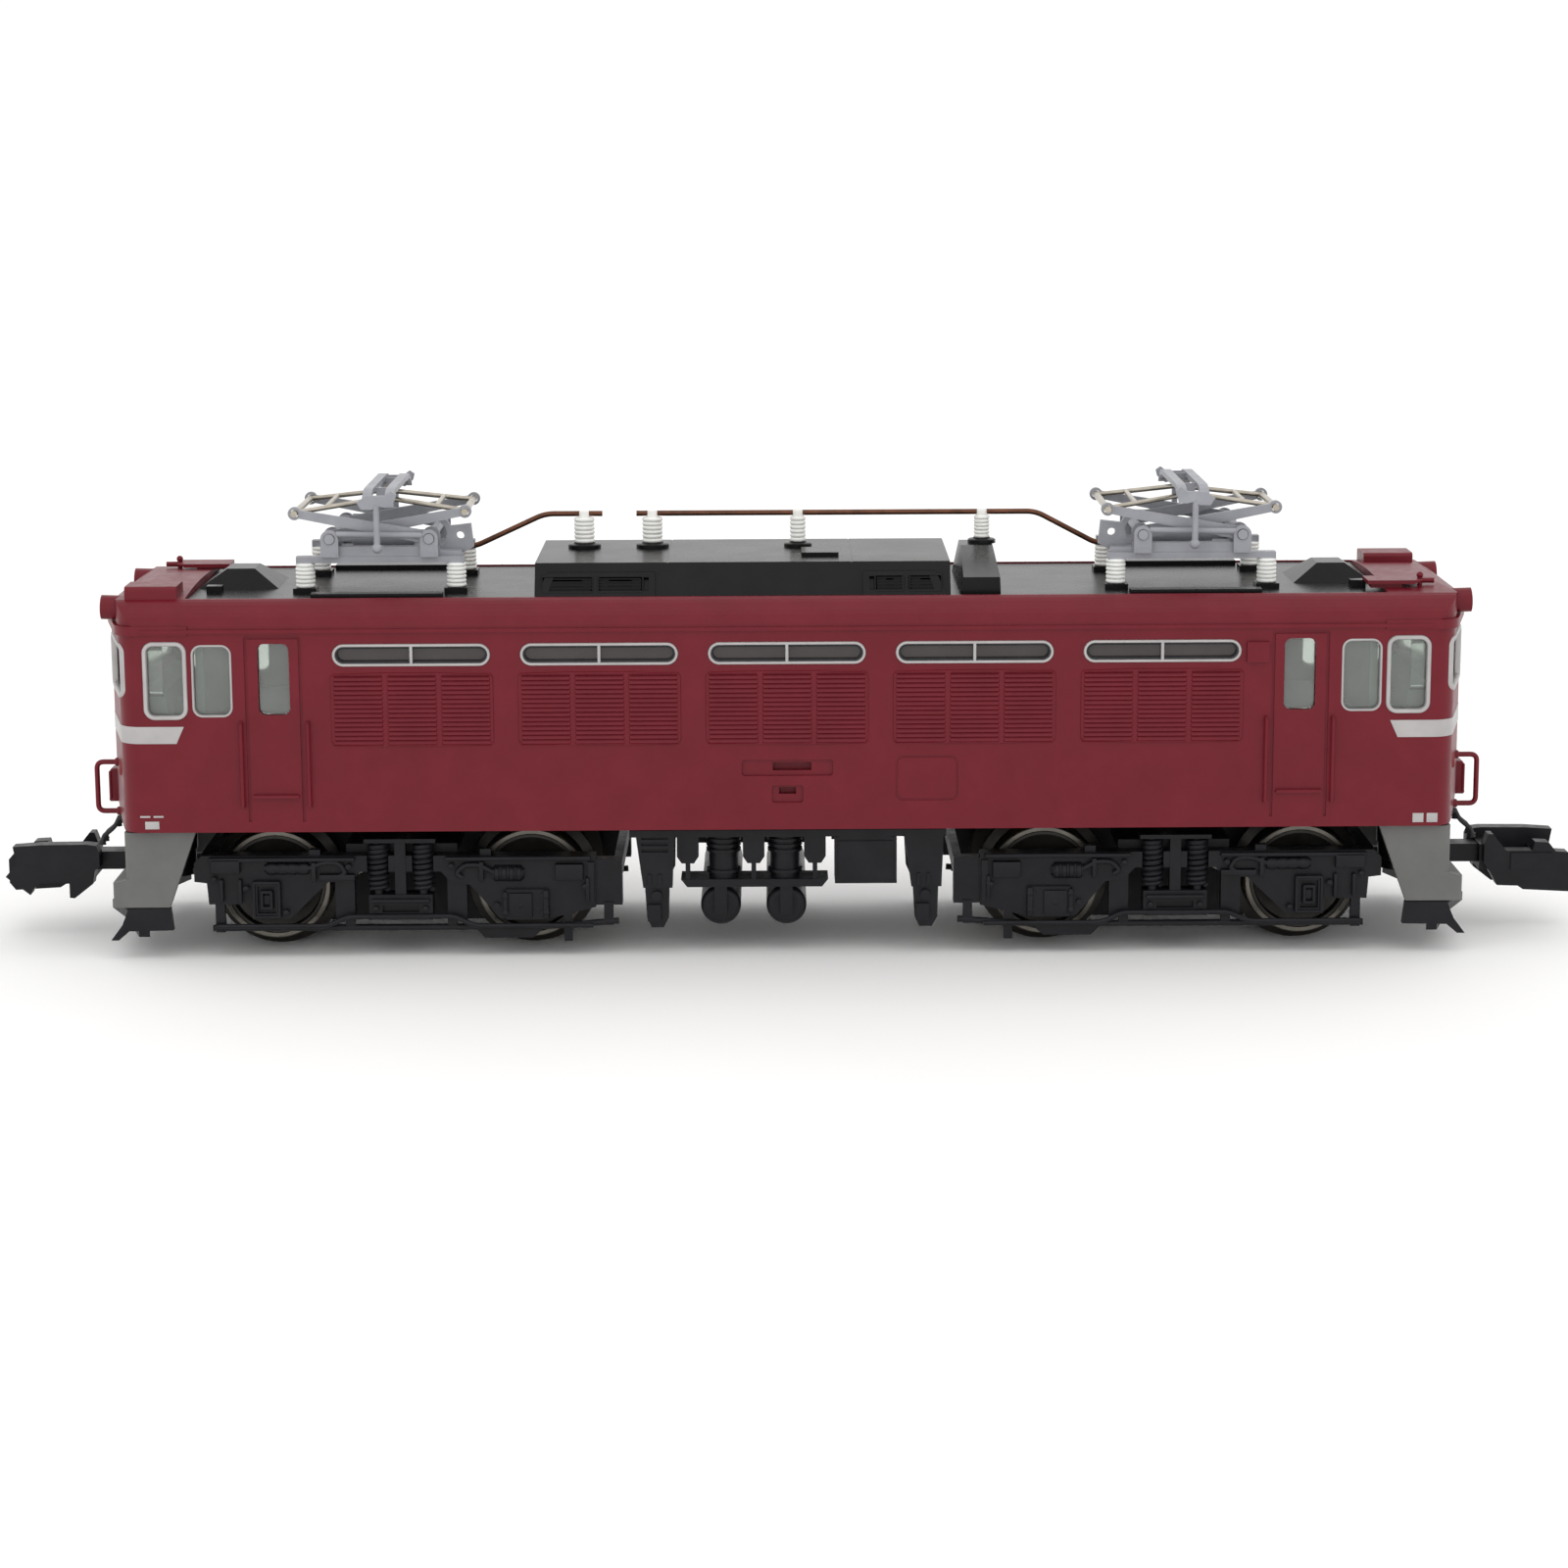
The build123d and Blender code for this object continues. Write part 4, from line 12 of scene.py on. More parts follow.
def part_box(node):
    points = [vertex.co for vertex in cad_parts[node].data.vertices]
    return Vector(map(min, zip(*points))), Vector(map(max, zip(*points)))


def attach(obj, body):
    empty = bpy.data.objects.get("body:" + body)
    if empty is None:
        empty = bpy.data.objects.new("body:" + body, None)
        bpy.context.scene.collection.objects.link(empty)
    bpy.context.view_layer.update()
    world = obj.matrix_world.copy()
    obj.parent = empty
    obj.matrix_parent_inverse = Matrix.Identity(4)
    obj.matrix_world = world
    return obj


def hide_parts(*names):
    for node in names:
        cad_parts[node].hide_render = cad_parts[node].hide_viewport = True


bl_info = {
    "name": "Scale Electric Locomotive",
    "version": (1, 0, 0),
    "blender": (4, 5, 0),
    "location": "3D View > Sidebar > Locomotive",
    "description": "Finishes a small-scale electric locomotive and sets up its studio",
    "category": "Object",
}

MM = 0.001
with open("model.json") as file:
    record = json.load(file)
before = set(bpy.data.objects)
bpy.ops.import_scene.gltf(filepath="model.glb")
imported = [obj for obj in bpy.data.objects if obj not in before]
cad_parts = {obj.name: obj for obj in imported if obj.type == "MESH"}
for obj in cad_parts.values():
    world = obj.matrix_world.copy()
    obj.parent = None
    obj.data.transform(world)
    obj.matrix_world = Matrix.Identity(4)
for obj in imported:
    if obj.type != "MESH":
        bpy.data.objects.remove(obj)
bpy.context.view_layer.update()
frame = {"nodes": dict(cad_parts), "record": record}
SIDES = (-1, 1)
BOGIES = {"front": -1, "rear": 1}
ROOT = "locomotive"
FLOOR_REACH = 3.0
# Each lamp: its name, place and size in metres, and its share of the key light's power.
LAMPS = (("key", (0.05, -0.25, 0.55), (0.55, 0.40), 1.0),
         ("back", (0.0, 0.45, 0.35), (0.6, 0.3), 0.35),
         ("front", (-0.1, -0.7, 0.20), (0.7, 0.4), 0.8))
LAMP_AIM = (0, 0, 0.014)
# Socket numbers of a Mix node set to colours.
MIX_FIRST, MIX_SECOND, MIX_RESULT = 6, 7, 2
SHARP_ANGLE = math.radians(35.0)
MERGE_DISTANCE = 1e-7
FINE_NOISE_DETAIL = 2.0
BEAD_SQUARENESS = 0.6

# Places in millimetres, X along the track, Y across it and Z up.
# A bus post is its X, its radius and the height of its foot.
BUS_POSTS = ((-13.3, 0.68, 25.65), (-8.8, 0.68, 25.65), (0.8, 0.52, 25.65), (12.95, 0.52, 25.85))
BUS_CAP = ((0.34, -0.32), (0.36, -0.26), (0.36, 0.1), (0.3, 0.2), (0.16, 0.26))
PANTO_X = 26.15
PANTO_INSULATOR_X = 4.87
PANTO_INSULATOR_Y = 4.23
PANTO_INSULATOR_R = 0.64
PANTO_FOOT_Z = 25.2
# Windows, marks and pads are (low, high) along and then (low, high) in height.
MARKS = ((-41.4, -40.75, 9.5, 9.62), (-40.55, -39.9, 9.5, 9.62), (-41.1, -40.2, 8.75, 9.25),
         (40.0, 40.7, 8.75, 9.35), (40.9, 41.6, 8.75, 9.35))
MARK_PROUD = 0.03
HALF_WIDTH = 9.33
BAY_PITCH = 11.92
BAYS = tuple(index * BAY_PITCH for index in range(-2, 3))
PILL_Z = 19.94
PILL_HALF = (5.02, 0.725)
FRONT_CAB_WINDOW = (38.15, 40.85, 15.9, 20.8)
REAR_CAB_WINDOW = (35.3, 37.75, 16.05, 20.6)
WINDSCREEN = (3.5, 8.95, 17.2, 20.7)
NOSE_WINDOW = (-1.5, 1.5, 17.2, 20.7)
# How far the cab window frames reach past the openings of the sides and of the noses.
SIDE_LAP = 0.07
NOSE_LAP = 0.05
FRAME_ROOT = -0.35
GASKET_WIDTH = 0.34
GASKET_TOP = -0.02
LOUVRE_HALF = 5.2
LOUVRE_Z = (14.0, 18.85)
LOUVRE_RIM = 0.22
LOUVRE_BAR = 0.3
LOUVRE_CORNER = 0.5
SLATS = 15
RAIL_ROOT_X = 43.5
RAIL_Z = (8.95, 12.2)
# Boxes are a low corner, a high corner and an edge radius; turned parts are (radius, distance) points.
RAIL_COLLAR = ((0.28, 43.45), (0.28, 43.72), (0.22, 43.8), (0.17, 43.8))
JUMPER_BOX = ((43.85, 1.1, 9.2), (44.5, 2.4, 11.4), 0.12)
JUMPER_LID = ((44.4, 1.05, 9.35), (44.6, 2.45, 11.25), 0.08)
JUMPER_LATCH = ((0.14, 1.3), (0.16, 1.36), (0.16, 2.14), (0.14, 2.2))
JUMPER_HINGE = (44.5, 9.32)
HOSE_COUPLING = ((0.16, 0.0), (0.24, 0.02), (0.24, 0.1), (0.2, 0.12), (0.2, 0.16), (0.24, 0.18),
                 (0.24, 0.27), (0.16, 0.34))
HOSE_ROOT = (43.75, 8.46)
HOSE_Y = (2.4, 3.6)
HOOD_PANES = ((-15.7, -12.3), (-12.1, -9.1), (5.6, 7.6), (7.8, 10.0))
HOOD_PANE_Z = (23.5, 24.6)
RIM_PROUD = 0.36
PANE_PROUD = 0.24
HOOD_BASE = (7.0, 23.2)
HOOD_LEAN = 0.57
# On a side frame: the first number runs along the bogie from its middle, the last is the height.
PADS = ((10.3, 12.2, 5.6, 6.55), (-11.8, -10.0, 5.04, 6.1), (2.9, 5.2, 5.1, 5.5), (-8.5, -7.0, 2.6, 4.2),
        (2.9, 12.3, 6.36, 6.62), (-12.3, -2.9, 6.36, 6.62), (-9.56, -9.2, 2.5, 4.4), (-6.9, -6.6, 2.7, 4.3),
        (10.2, 10.45, 3.6, 5.2), (11.4, 11.65, 3.7, 5.2), (-12.2, -11.95, 3.6, 5.2), (5.4, 5.7, 5.0, 6.3),
        (-5.4, -5.1, 5.0, 6.3), (-1.9, 1.9, 2.5, 2.75), (-1.9, 1.9, 3.6, 3.85))
BOLTS = ((-9.38, 2.9), (-9.38, 4.0), (-6.75, 2.9), (-6.75, 4.0), (7.4, 3.0), (9.95, 4.6), (3.3, 6.0),
         (-3.3, 6.0), (12.0, 5.2), (-11.9, 4.6), (-1.6, 3.2), (1.6, 3.2), (-7.75, 3.4))
BOLT_HEAD = ((0.2, 0.1), (0.2, -0.16), (0.15, -0.21), (0.04, -0.24))
AXLE_BOX_RIMS = ((7.7, 9.56, 2.6, 5.1), (8.2, 9.06, 3.2, 4.5))
# A wheel rim's section as (radius, distance from the centre line), and the points round it.
WHEEL_RIM = ((3.2, 5.8), (3.2, 5.9), (3.27, 5.95), (3.5, 5.95), (3.57, 5.9), (3.57, 5.8))
WHEEL_AROUND = 72
CYLINDERS = ((-7.9, -6.0, 5.47, 0.5), (5.9, 8.6, 5.87, 0.42))
LEVERS = (((6.0, 5.87), (4.9, 6.3), (3.9, 6.25), (3.5, 5.6), (3.9, 5.35)),
          ((-6.2, 5.47), (-5.1, 6.1), (-4.1, 6.05), (-3.6, 5.5), (-4.0, 5.25)),
          ((12.0, 2.1), (4.8, 2.1), (3.4, 2.7), (-3.4, 2.7), (-4.8, 2.05), (-12.4, 2.05)))


# ---- colour and node helpers --------------------------------------------------------------
def srgb(value):
    """An sRGB hex string as linear red, green, blue and alpha."""
    channels = [int(value[i:i + 2], 16) / 255 for i in (1, 3, 5)]
    linear = [c / 12.92 if c <= 0.04045 else ((c + 0.055) / 1.055) ** 2.4 for c in channels]
    return (*linear, 1.0)


def add_node(tree, kind, settings=None, **links):
    """Adds a node; settings are its properties or socket values, links are sockets to join."""
    node = tree.nodes.new(kind)
    for name, value in (settings or {}).items():
        if name in node.inputs:
            node.inputs[name].default_value = value
        else:
            setattr(node, name, value)
    for name, source in links.items():
        tree.links.new(source, node.inputs[name.replace("_", " ")])
    return node


def grain(tree, millimetres, detail=3.0, roughness=0.55):
    """Noise whose blobs are about the given size, on Object coordinates."""
    place = add_node(tree, "ShaderNodeTexCoord").outputs["Object"]
    settings = {"Scale": 1 / (millimetres * MM), "Detail": detail, "Roughness": roughness}
    return add_node(tree, "ShaderNodeTexNoise", settings, Vector=place).outputs["Fac"]


def spread(tree, source, low, high):
    """A noise value stretched from its usual 0.3 to 0.7 onto low to high."""
    settings = {"From Min": 0.3, "From Max": 0.7, "To Min": low, "To Max": high}
    return add_node(tree, "ShaderNodeMapRange", settings, Value=source).outputs["Result"]


def finish(name, colour, mottle=None, mottle_mm=2.0, roughness=(0.35, 0.45), roughness_mm=0.6,
           bump_mm=0.12, bump_depth=0.004, metallic=0.0, specular=0.5, **sockets):
    """A moulded, painted or plated finish: a colour that drifts a little, uneven gloss, fine grain.

    Sizes ending in _mm and bump_depth, the grain's height, are in millimetres.
    """
    made = bpy.data.materials.new(name)
    made.use_nodes = True
    tree = made.node_tree
    tree.nodes.clear()
    out = add_node(tree, "ShaderNodeOutputMaterial")
    shader = add_node(tree, "ShaderNodeBsdfPrincipled",
                      {"Metallic": metallic, "Specular IOR Level": specular, **sockets})
    tree.links.new(shader.outputs["BSDF"], out.inputs["Surface"])
    drift = spread(tree, grain(tree, mottle_mm), 0.0, 1.0)
    mix = add_node(tree, "ShaderNodeMix", {"data_type": "RGBA"})
    mix.inputs[MIX_FIRST].default_value = srgb(colour)
    mix.inputs[MIX_SECOND].default_value = srgb(mottle or colour)
    tree.links.new(drift, mix.inputs["Factor"])
    tree.links.new(mix.outputs[MIX_RESULT], shader.inputs["Base Color"])
    gloss = spread(tree, grain(tree, roughness_mm), *roughness)
    tree.links.new(gloss, shader.inputs["Roughness"])
    bump = add_node(tree, "ShaderNodeBump", {"Strength": 1.0, "Distance": bump_depth * MM},
                    Height=grain(tree, bump_mm, detail=FINE_NOISE_DETAIL))
    tree.links.new(bump.outputs["Normal"], shader.inputs["Normal"])
    return made


FINISHES = {
    # maroon acrylic lacquer sprayed over moulded styrene: deep even red, satin, faint orange peel
    "maroon_plastic": dict(name="maroon satin lacquer", colour="#640F1C", mottle="#6B1220",
                           roughness=(0.34, 0.44), specular=0.25),
    # hot-foil silver print: pale, satin, slightly grainy
    "silver_trim": dict(name="silver foil print", colour="#B2AFAE", mottle="#A5A2A1", metallic=0.3,
                        roughness=(0.35, 0.5), bump_depth=0.002),
    # smoked clear styrene with a dark backing
    "dark_glazing": dict(name="smoked styrene glazing", colour="#37302F", mottle="#403938",
                         roughness=(0.08, 0.16), bump_depth=0.0005),
    # clear moulded styrene: a faint green-white pane that mirrors the room and shows the cab behind
    "clear_glazing": dict(name="clear styrene glazing", colour="#E9EEE9", mottle="#DDE4DE",
                          roughness=(0.03, 0.06), bump_depth=0.0003,
                          **{"Transmission Weight": 0.9, "IOR": 1.56}),
    # bare styrene moulding in a pale grey green: dull and even
    "cab_green": dict(name="cab interior moulding", colour="#929F96", mottle="#86938A",
                      roughness=(0.5, 0.65)),
    # polished acrylic: a warm white lens that is bright at its rim
    "lamp_clear": dict(name="clear acrylic lamp lens", colour="#F4F0E2", mottle="#E9E4D2",
                       roughness=(0.05, 0.1), bump_depth=0.0005, **{"Transmission Weight": 0.5}),
    # polished red acrylic: deep colour under a sharp highlight
    "lamp_red": dict(name="red acrylic lamp lens", colour="#8E1414", mottle="#7A0F0F",
                     roughness=(0.08, 0.15), bump_depth=0.0005),
    # semi-gloss black roof moulding: black square on, a pale sheen at low angles
    "roof_black": dict(name="semi-gloss black styrene", colour="#0D0D0E", mottle="#131313",
                       roughness=(0.26, 0.29), roughness_mm=3.0, bump_depth=0.0003, specular=0.16),
    # moulded acetal: warm white and soft, a little light passes through the thin discs
    "porcelain_white": dict(name="off-white insulator moulding", colour="#F4F4F0", mottle="#EAEAE5",
                            roughness=(0.35, 0.5), bump_depth=0.002, **{"Subsurface Weight": 0.05}),
    # drawn copper gone brown: dark, with a warm line of light along the top
    "copper_wire": dict(name="drawn copper wire", colour="#6E4736", mottle="#54392C", metallic=0.85,
                        roughness=(0.3, 0.45), mottle_mm=0.8, bump_depth=0.002),
    # sprayed enamel over pressed metal: mid blue grey, satin, edges a little soft
    "panto_grey": dict(name="grey enamel on pressed metal", colour="#97989E", mottle="#898A90",
                       roughness=(0.38, 0.5), bump_depth=0.003),
    # bright drawn wire: pale warm metal with streaks of light and dark
    "nickel_wire": dict(name="nickel silver wire", colour="#B9B2A6", mottle="#A39C90", metallic=0.9,
                        roughness=(0.25, 0.38), mottle_mm=0.7, bump_depth=0.0015),
    # sprayed mid grey: flat and even, a little chalky
    "skirt_grey": dict(name="mid grey styrene", colour="#626260", mottle="#696967",
                       roughness=(0.45, 0.56), specular=0.25),
    # moulded acetal in blue black: satin, its highlights only on edges and round parts
    "bogie_black": dict(name="satin black acetal", colour="#101014", mottle="#18181C", roughness=(0.34, 0.48),
                        bump_depth=0.004, specular=0.22),
    # soft vinyl: dull black with a wide weak sheen
    "hose_black": dict(name="black vinyl hose", colour="#222225", mottle="#2B2B2E", roughness=(0.45, 0.6),
                       specular=0.3),
    # blackened zinc: dark grey, grainy as cast
    "diecast": dict(name="blackened zinc casting", colour="#4A4A4B", mottle="#3D3D3E", metallic=0.6,
                    roughness=(0.45, 0.6), bump_mm=0.25, bump_depth=0.01),
    # ground bar: bright grey, nearly a mirror
    "steel_plain": dict(name="ground steel", colour="#A9A9A8", mottle="#989897", metallic=1.0,
                        roughness=(0.25, 0.38), bump_depth=0.001),
    # turned brass: yellow, with sharp highlights
    "brass_plain": dict(name="turned brass", colour="#C9A24E", mottle="#B58F42", metallic=1.0,
                        roughness=(0.2, 0.32), bump_depth=0.001),
    # unpigmented acetal: creamy white and waxy
    "gear_plastic": dict(name="natural acetal", colour="#E3DFCE", mottle="#D9D5C4",
                         roughness=(0.3, 0.42)),
    # chemically blackened brass wheel: dark brown-grey, brighter where the light grazes it
    "tread_steel": dict(name="blackened metal wheel", colour="#3A3834", mottle="#2F2D2A", metallic=0.7,
                        roughness=(0.3, 0.42), bump_depth=0.001),
    # gloss black moulding, darkened with painted shade of the intake recess: the darkest thing on the roof
    "intake_painted_shade": dict(name="gloss black styrene", colour="#050506", mottle="#08080A",
                        roughness=(0.12, 0.2), bump_depth=0.0003, specular=0.12),
    # turned rim left bright after the wheel was blackened
    "rim_steel": dict(name="turned nickel silver rim", colour="#736F68", mottle="#635F59", metallic=0.9,
                      roughness=(0.25, 0.38), bump_depth=0.0005),
    # solder mask over glass fibre: glossy green
    "circuit_board": dict(name="green circuit board", colour="#1F6B3A", mottle="#25733F",
                          roughness=(0.25, 0.35)),
}
MATERIALS = {}


def coat(obj, slot):
    """Gives an object the finish of a material slot."""
    if slot not in MATERIALS:
        MATERIALS[slot] = finish(**FINISHES[slot])
    obj.data.materials.clear()
    obj.data.materials.append(MATERIALS[slot])
    return obj


def node_slots():
    return {row["node"]: row["material_slot"] for row in frame["record"]["subparts"]}


def add_piece(name, parts, body, slot, replaces=(), smooth=True, look=None):
    """A mesh piece of joined surfaces that rides on a body, in a slot's finish or its own look."""
    points, faces = join(parts)
    mesh = bpy.data.meshes.new(name)
    mesh.from_pydata(points.tolist(), [], faces)
    mesh.validate()
    shape = bmesh.new()
    shape.from_mesh(mesh)
    bmesh.ops.remove_doubles(shape, verts=shape.verts, dist=MERGE_DISTANCE)
    bmesh.ops.recalc_face_normals(shape, faces=shape.faces)
    shape.to_mesh(mesh)
    shape.free()
    obj = bpy.data.objects.new(name, mesh)
    bpy.context.scene.collection.objects.link(obj)
    if smooth:
        mesh.shade_smooth()
        mesh.set_sharp_from_angle(angle=SHARP_ANGLE)
    coat(obj, look or slot)
    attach(obj, body)
    if replaces:
        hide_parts(*replaces)
    return obj


# ---- numpy surfaces -----------------------------------------------------------------------
def grid_faces(rows, columns, wrap_rows=False, wrap_columns=False):
    """Quads between neighbouring points of a rows by columns grid, closing either way round."""
    i = np.arange(rows if wrap_rows else rows - 1)[:, None]
    j = np.arange(columns if wrap_columns else columns - 1)[None, :]
    i2 = (i + 1) % rows
    j2 = (j + 1) % columns
    quads = np.stack([i * columns + j, i * columns + j2, i2 * columns + j2, i2 * columns + j], -1)
    return quads.reshape(-1, 4).tolist()


def join(parts):
    """Several (points, faces) surfaces as one list of points and one of faces."""
    points, faces, count = [], [], 0
    for part_points, part_faces in parts:
        points.append(part_points)
        faces += [[index + count for index in face] for face in part_faces]
        count += len(part_points)
    return np.concatenate(points), faces


def end_caps(rows, columns):
    """One face across the first row of a grid and one across its last."""
    last = (rows - 1) * columns
    return [list(range(columns))[::-1], list(range(last, last + columns))]


def tube(path, radius, around=12):
    """A round tube along a path: rings of radius cos and sin on two directions square to the path.

    The first direction is carried along the path, each time made square to the new tangent.
    """
    path = np.asarray(path, float)
    radius = np.broadcast_to(np.asarray(radius, float), len(path))
    tangent = np.gradient(path, axis=0)
    tangent /= np.linalg.norm(tangent, axis=1)[:, None]
    start = np.cross(tangent[0], [0.0, 0.0, 1.0])
    if np.linalg.norm(start) < 1e-3:
        start = np.cross(tangent[0], [0.0, 1.0, 0.0])
    side = np.empty_like(path)
    for index, direction in enumerate(tangent):
        start = start - direction * np.dot(start, direction)
        start /= np.linalg.norm(start)
        side[index] = start
    other = np.cross(tangent, side)
    turn = np.linspace(0, 2 * np.pi, around, endpoint=False)
    ring = np.cos(turn)[None, :, None] * side[:, None] + np.sin(turn)[None, :, None] * other[:, None]
    points = (path[:, None] + ring * radius[:, None, None]).reshape(-1, 3)
    return points, grid_faces(len(path), around, wrap_columns=True) + end_caps(len(path), around)


def lathe(profile, centre, axis="Z", around=40):
    """A profile of (radius, height) pairs in millimetres turned once about an axis through centre."""
    profile = np.array(profile) * MM
    turn = np.linspace(0, 2 * np.pi, around, endpoint=False)
    radial = profile[:, 0][:, None]
    across = radial * np.cos(turn)[None]
    up = radial * np.sin(turn)[None]
    along = np.repeat(profile[:, 1][:, None], around, 1)
    order = {"Z": (across, up, along), "Y": (up, along, across), "X": (along, across, up)}[axis]
    points = np.stack(order, -1).reshape(-1, 3) + np.array(centre) * MM
    return points, grid_faces(len(profile), around, wrap_columns=True) + end_caps(len(profile), around)


def rounded_box(low, high, radius, steps=4):
    """A box with round edges: a sphere of the edge radius cut in eight and pushed out to the corners.

    A point is the corner's centre plus radius times (cos u cos v, cos u sin v, sin u).  The
    measures are in millimetres.
    """
    low, high, radius = np.array(low) * MM, np.array(high) * MM, radius * MM
    half = (high - low) / 2 - radius
    quarter = np.linspace(0, np.pi / 2, steps)
    v = np.concatenate([quarter + turn * np.pi / 2 for turn in range(4)])
    side_x = np.repeat([1, -1, -1, 1], steps)
    side_y = np.repeat([1, 1, -1, -1], steps)
    u = np.concatenate([quarter - np.pi / 2, quarter])[:, None]
    side_z = np.repeat([-1, 1], steps)[:, None]
    across = side_x * half[0] + radius * np.cos(u) * np.cos(v)
    deep = side_y * half[1] + radius * np.cos(u) * np.sin(v)
    up = side_z * half[2] + radius * np.sin(u) + 0 * v
    points = np.stack([across, deep, up], -1).reshape(-1, 3) + (low + high) / 2
    return points, grid_faces(2 * steps, 4 * steps, wrap_columns=True) + end_caps(2 * steps, 4 * steps)


def rounded_outline(x_low, x_high, z_low, z_high, radius, steps=9):
    """A rounded rectangle as points and the directions that point out of it: each corner arc is
    the corner's centre plus the radius times (cos a, sin a)."""
    radius = min(radius, (x_high - x_low) / 2, (z_high - z_low) / 2)
    quarter = np.linspace(0, np.pi / 2, steps)
    a = np.concatenate([quarter + turn * np.pi / 2 for turn in range(4)])
    outward = np.stack([np.cos(a), np.sin(a)], -1)
    centre_x = np.repeat([x_high - radius, x_low + radius, x_low + radius, x_high - radius], steps)
    centre_z = np.repeat([z_high - radius, z_high - radius, z_low + radius, z_low + radius], steps)
    return np.stack([centre_x, centre_z], -1) + radius * outward, outward


def bead(window, width, radius, low, high, around=12):
    """A round-topped frame just inside a rounded rectangle, from depth low to depth high.

    Its section is a squared-off ellipse: half the width times cos v and half the depth times
    sin v, each to the power 0.6 with its sign kept.  Returns (across, up, depth) points.
    """
    outline, outward = rounded_outline(*window, radius)
    v = np.linspace(0, 2 * np.pi, around, endpoint=False)
    rounded = [np.sign(wave) * np.abs(wave) ** BEAD_SQUARENESS for wave in (np.cos(v), np.sin(v))]
    shift = (rounded[0] - 1) * width / 2
    flat = outline[:, None] + outward[:, None] * shift[None, :, None]
    depth = np.broadcast_to((low + high) / 2 + rounded[1] * (high - low) / 2, flat.shape[:2])
    points = np.concatenate([flat, depth[..., None]], -1).reshape(-1, 3)
    return points, grid_faces(len(outline), around, wrap_rows=True, wrap_columns=True)


def on_side(part, face):
    """Turns (across, up, depth) points in millimetres onto the near side's plane."""
    points = part[0]
    return np.stack([points[:, 0], -face - points[:, 2], points[:, 1]], -1) * MM, part[1]


def mirrored(part, signs):
    """A surface with its X, Y and Z multiplied by the given signs."""
    return part[0] * np.asarray(signs, float), part[1]


def four_corners(part):
    """A surface and its copies at the other three corners of the locomotive."""
    return [mirrored(part, (x, y, 1)) for x in SIDES for y in SIDES]


def rounded_corners(points, radius, samples=7):
    """A bent bar's centre line: at each corner the path leaves one run and joins the next at
    the given distance from the corner, along the curve (1-t)(1-t) a + 2t(1-t) b + t t c."""
    points = np.asarray(points, float)
    t = np.linspace(0, 1, samples)[:, None]
    pieces = [points[:1]]
    for a, b, c in zip(points[:-2], points[1:-1], points[2:]):
        back, ahead = a - b, c - b
        reach = min(radius, 0.45 * np.linalg.norm(back), 0.45 * np.linalg.norm(ahead))
        start = b + reach * back / np.linalg.norm(back)
        stop = b + reach * ahead / np.linalg.norm(ahead)
        pieces.append((1 - t) ** 2 * start + 2 * t * (1 - t) * b + t ** 2 * stop)
    pieces.append(points[-1:])
    return np.concatenate(pieces)


# ---- settings -----------------------------------------------------------------------------
def length(name, description, millimetres):
    """A length setting whose default is given in millimetres."""
    return bpy.props.FloatProperty(name=name, description=description, default=millimetres * MM,
                                   precision=6, subtype="DISTANCE", unit="LENGTH")


def angle(name, description, degrees):
    """An angle setting whose default is given in degrees."""
    return bpy.props.FloatProperty(name=name, description=description, default=math.radians(degrees),
                                   subtype="ANGLE")


def number(name, description, value):
    """A plain number setting."""
    return bpy.props.FloatProperty(name=name, description=description, default=value)


class StudioSettings(bpy.types.PropertyGroup):
    """The camera, the lamps and the floor."""

    camera_place: bpy.props.FloatVectorProperty(
        name="Camera place", description="Where the camera stands, in metres", size=3,
        default=(-0.00078, -0.2381, 0.05619), subtype="TRANSLATION", unit="LENGTH")
    camera_pitch: angle("Camera pitch", "How far the camera looks down", 11.06)
    camera_yaw: angle("Camera yaw", "How far the camera turns right", 0.139)
    camera_roll: angle("Camera roll", "How far the camera tilts sideways", -0.298)
    focal_length: number("Focal length", "Lens length in millimetres on a 36 mm sensor", 83.79)
    floor_colour: bpy.props.StringProperty(
        name="Floor colour", description="The floor as an sRGB hex value", default="#FBFBFA")
    room_light: number("Room light", "Brightness of the pale room around the model", 1.09)
    key_light: number("Key light", "Power of the large soft lamp above, in watts", 0.35)


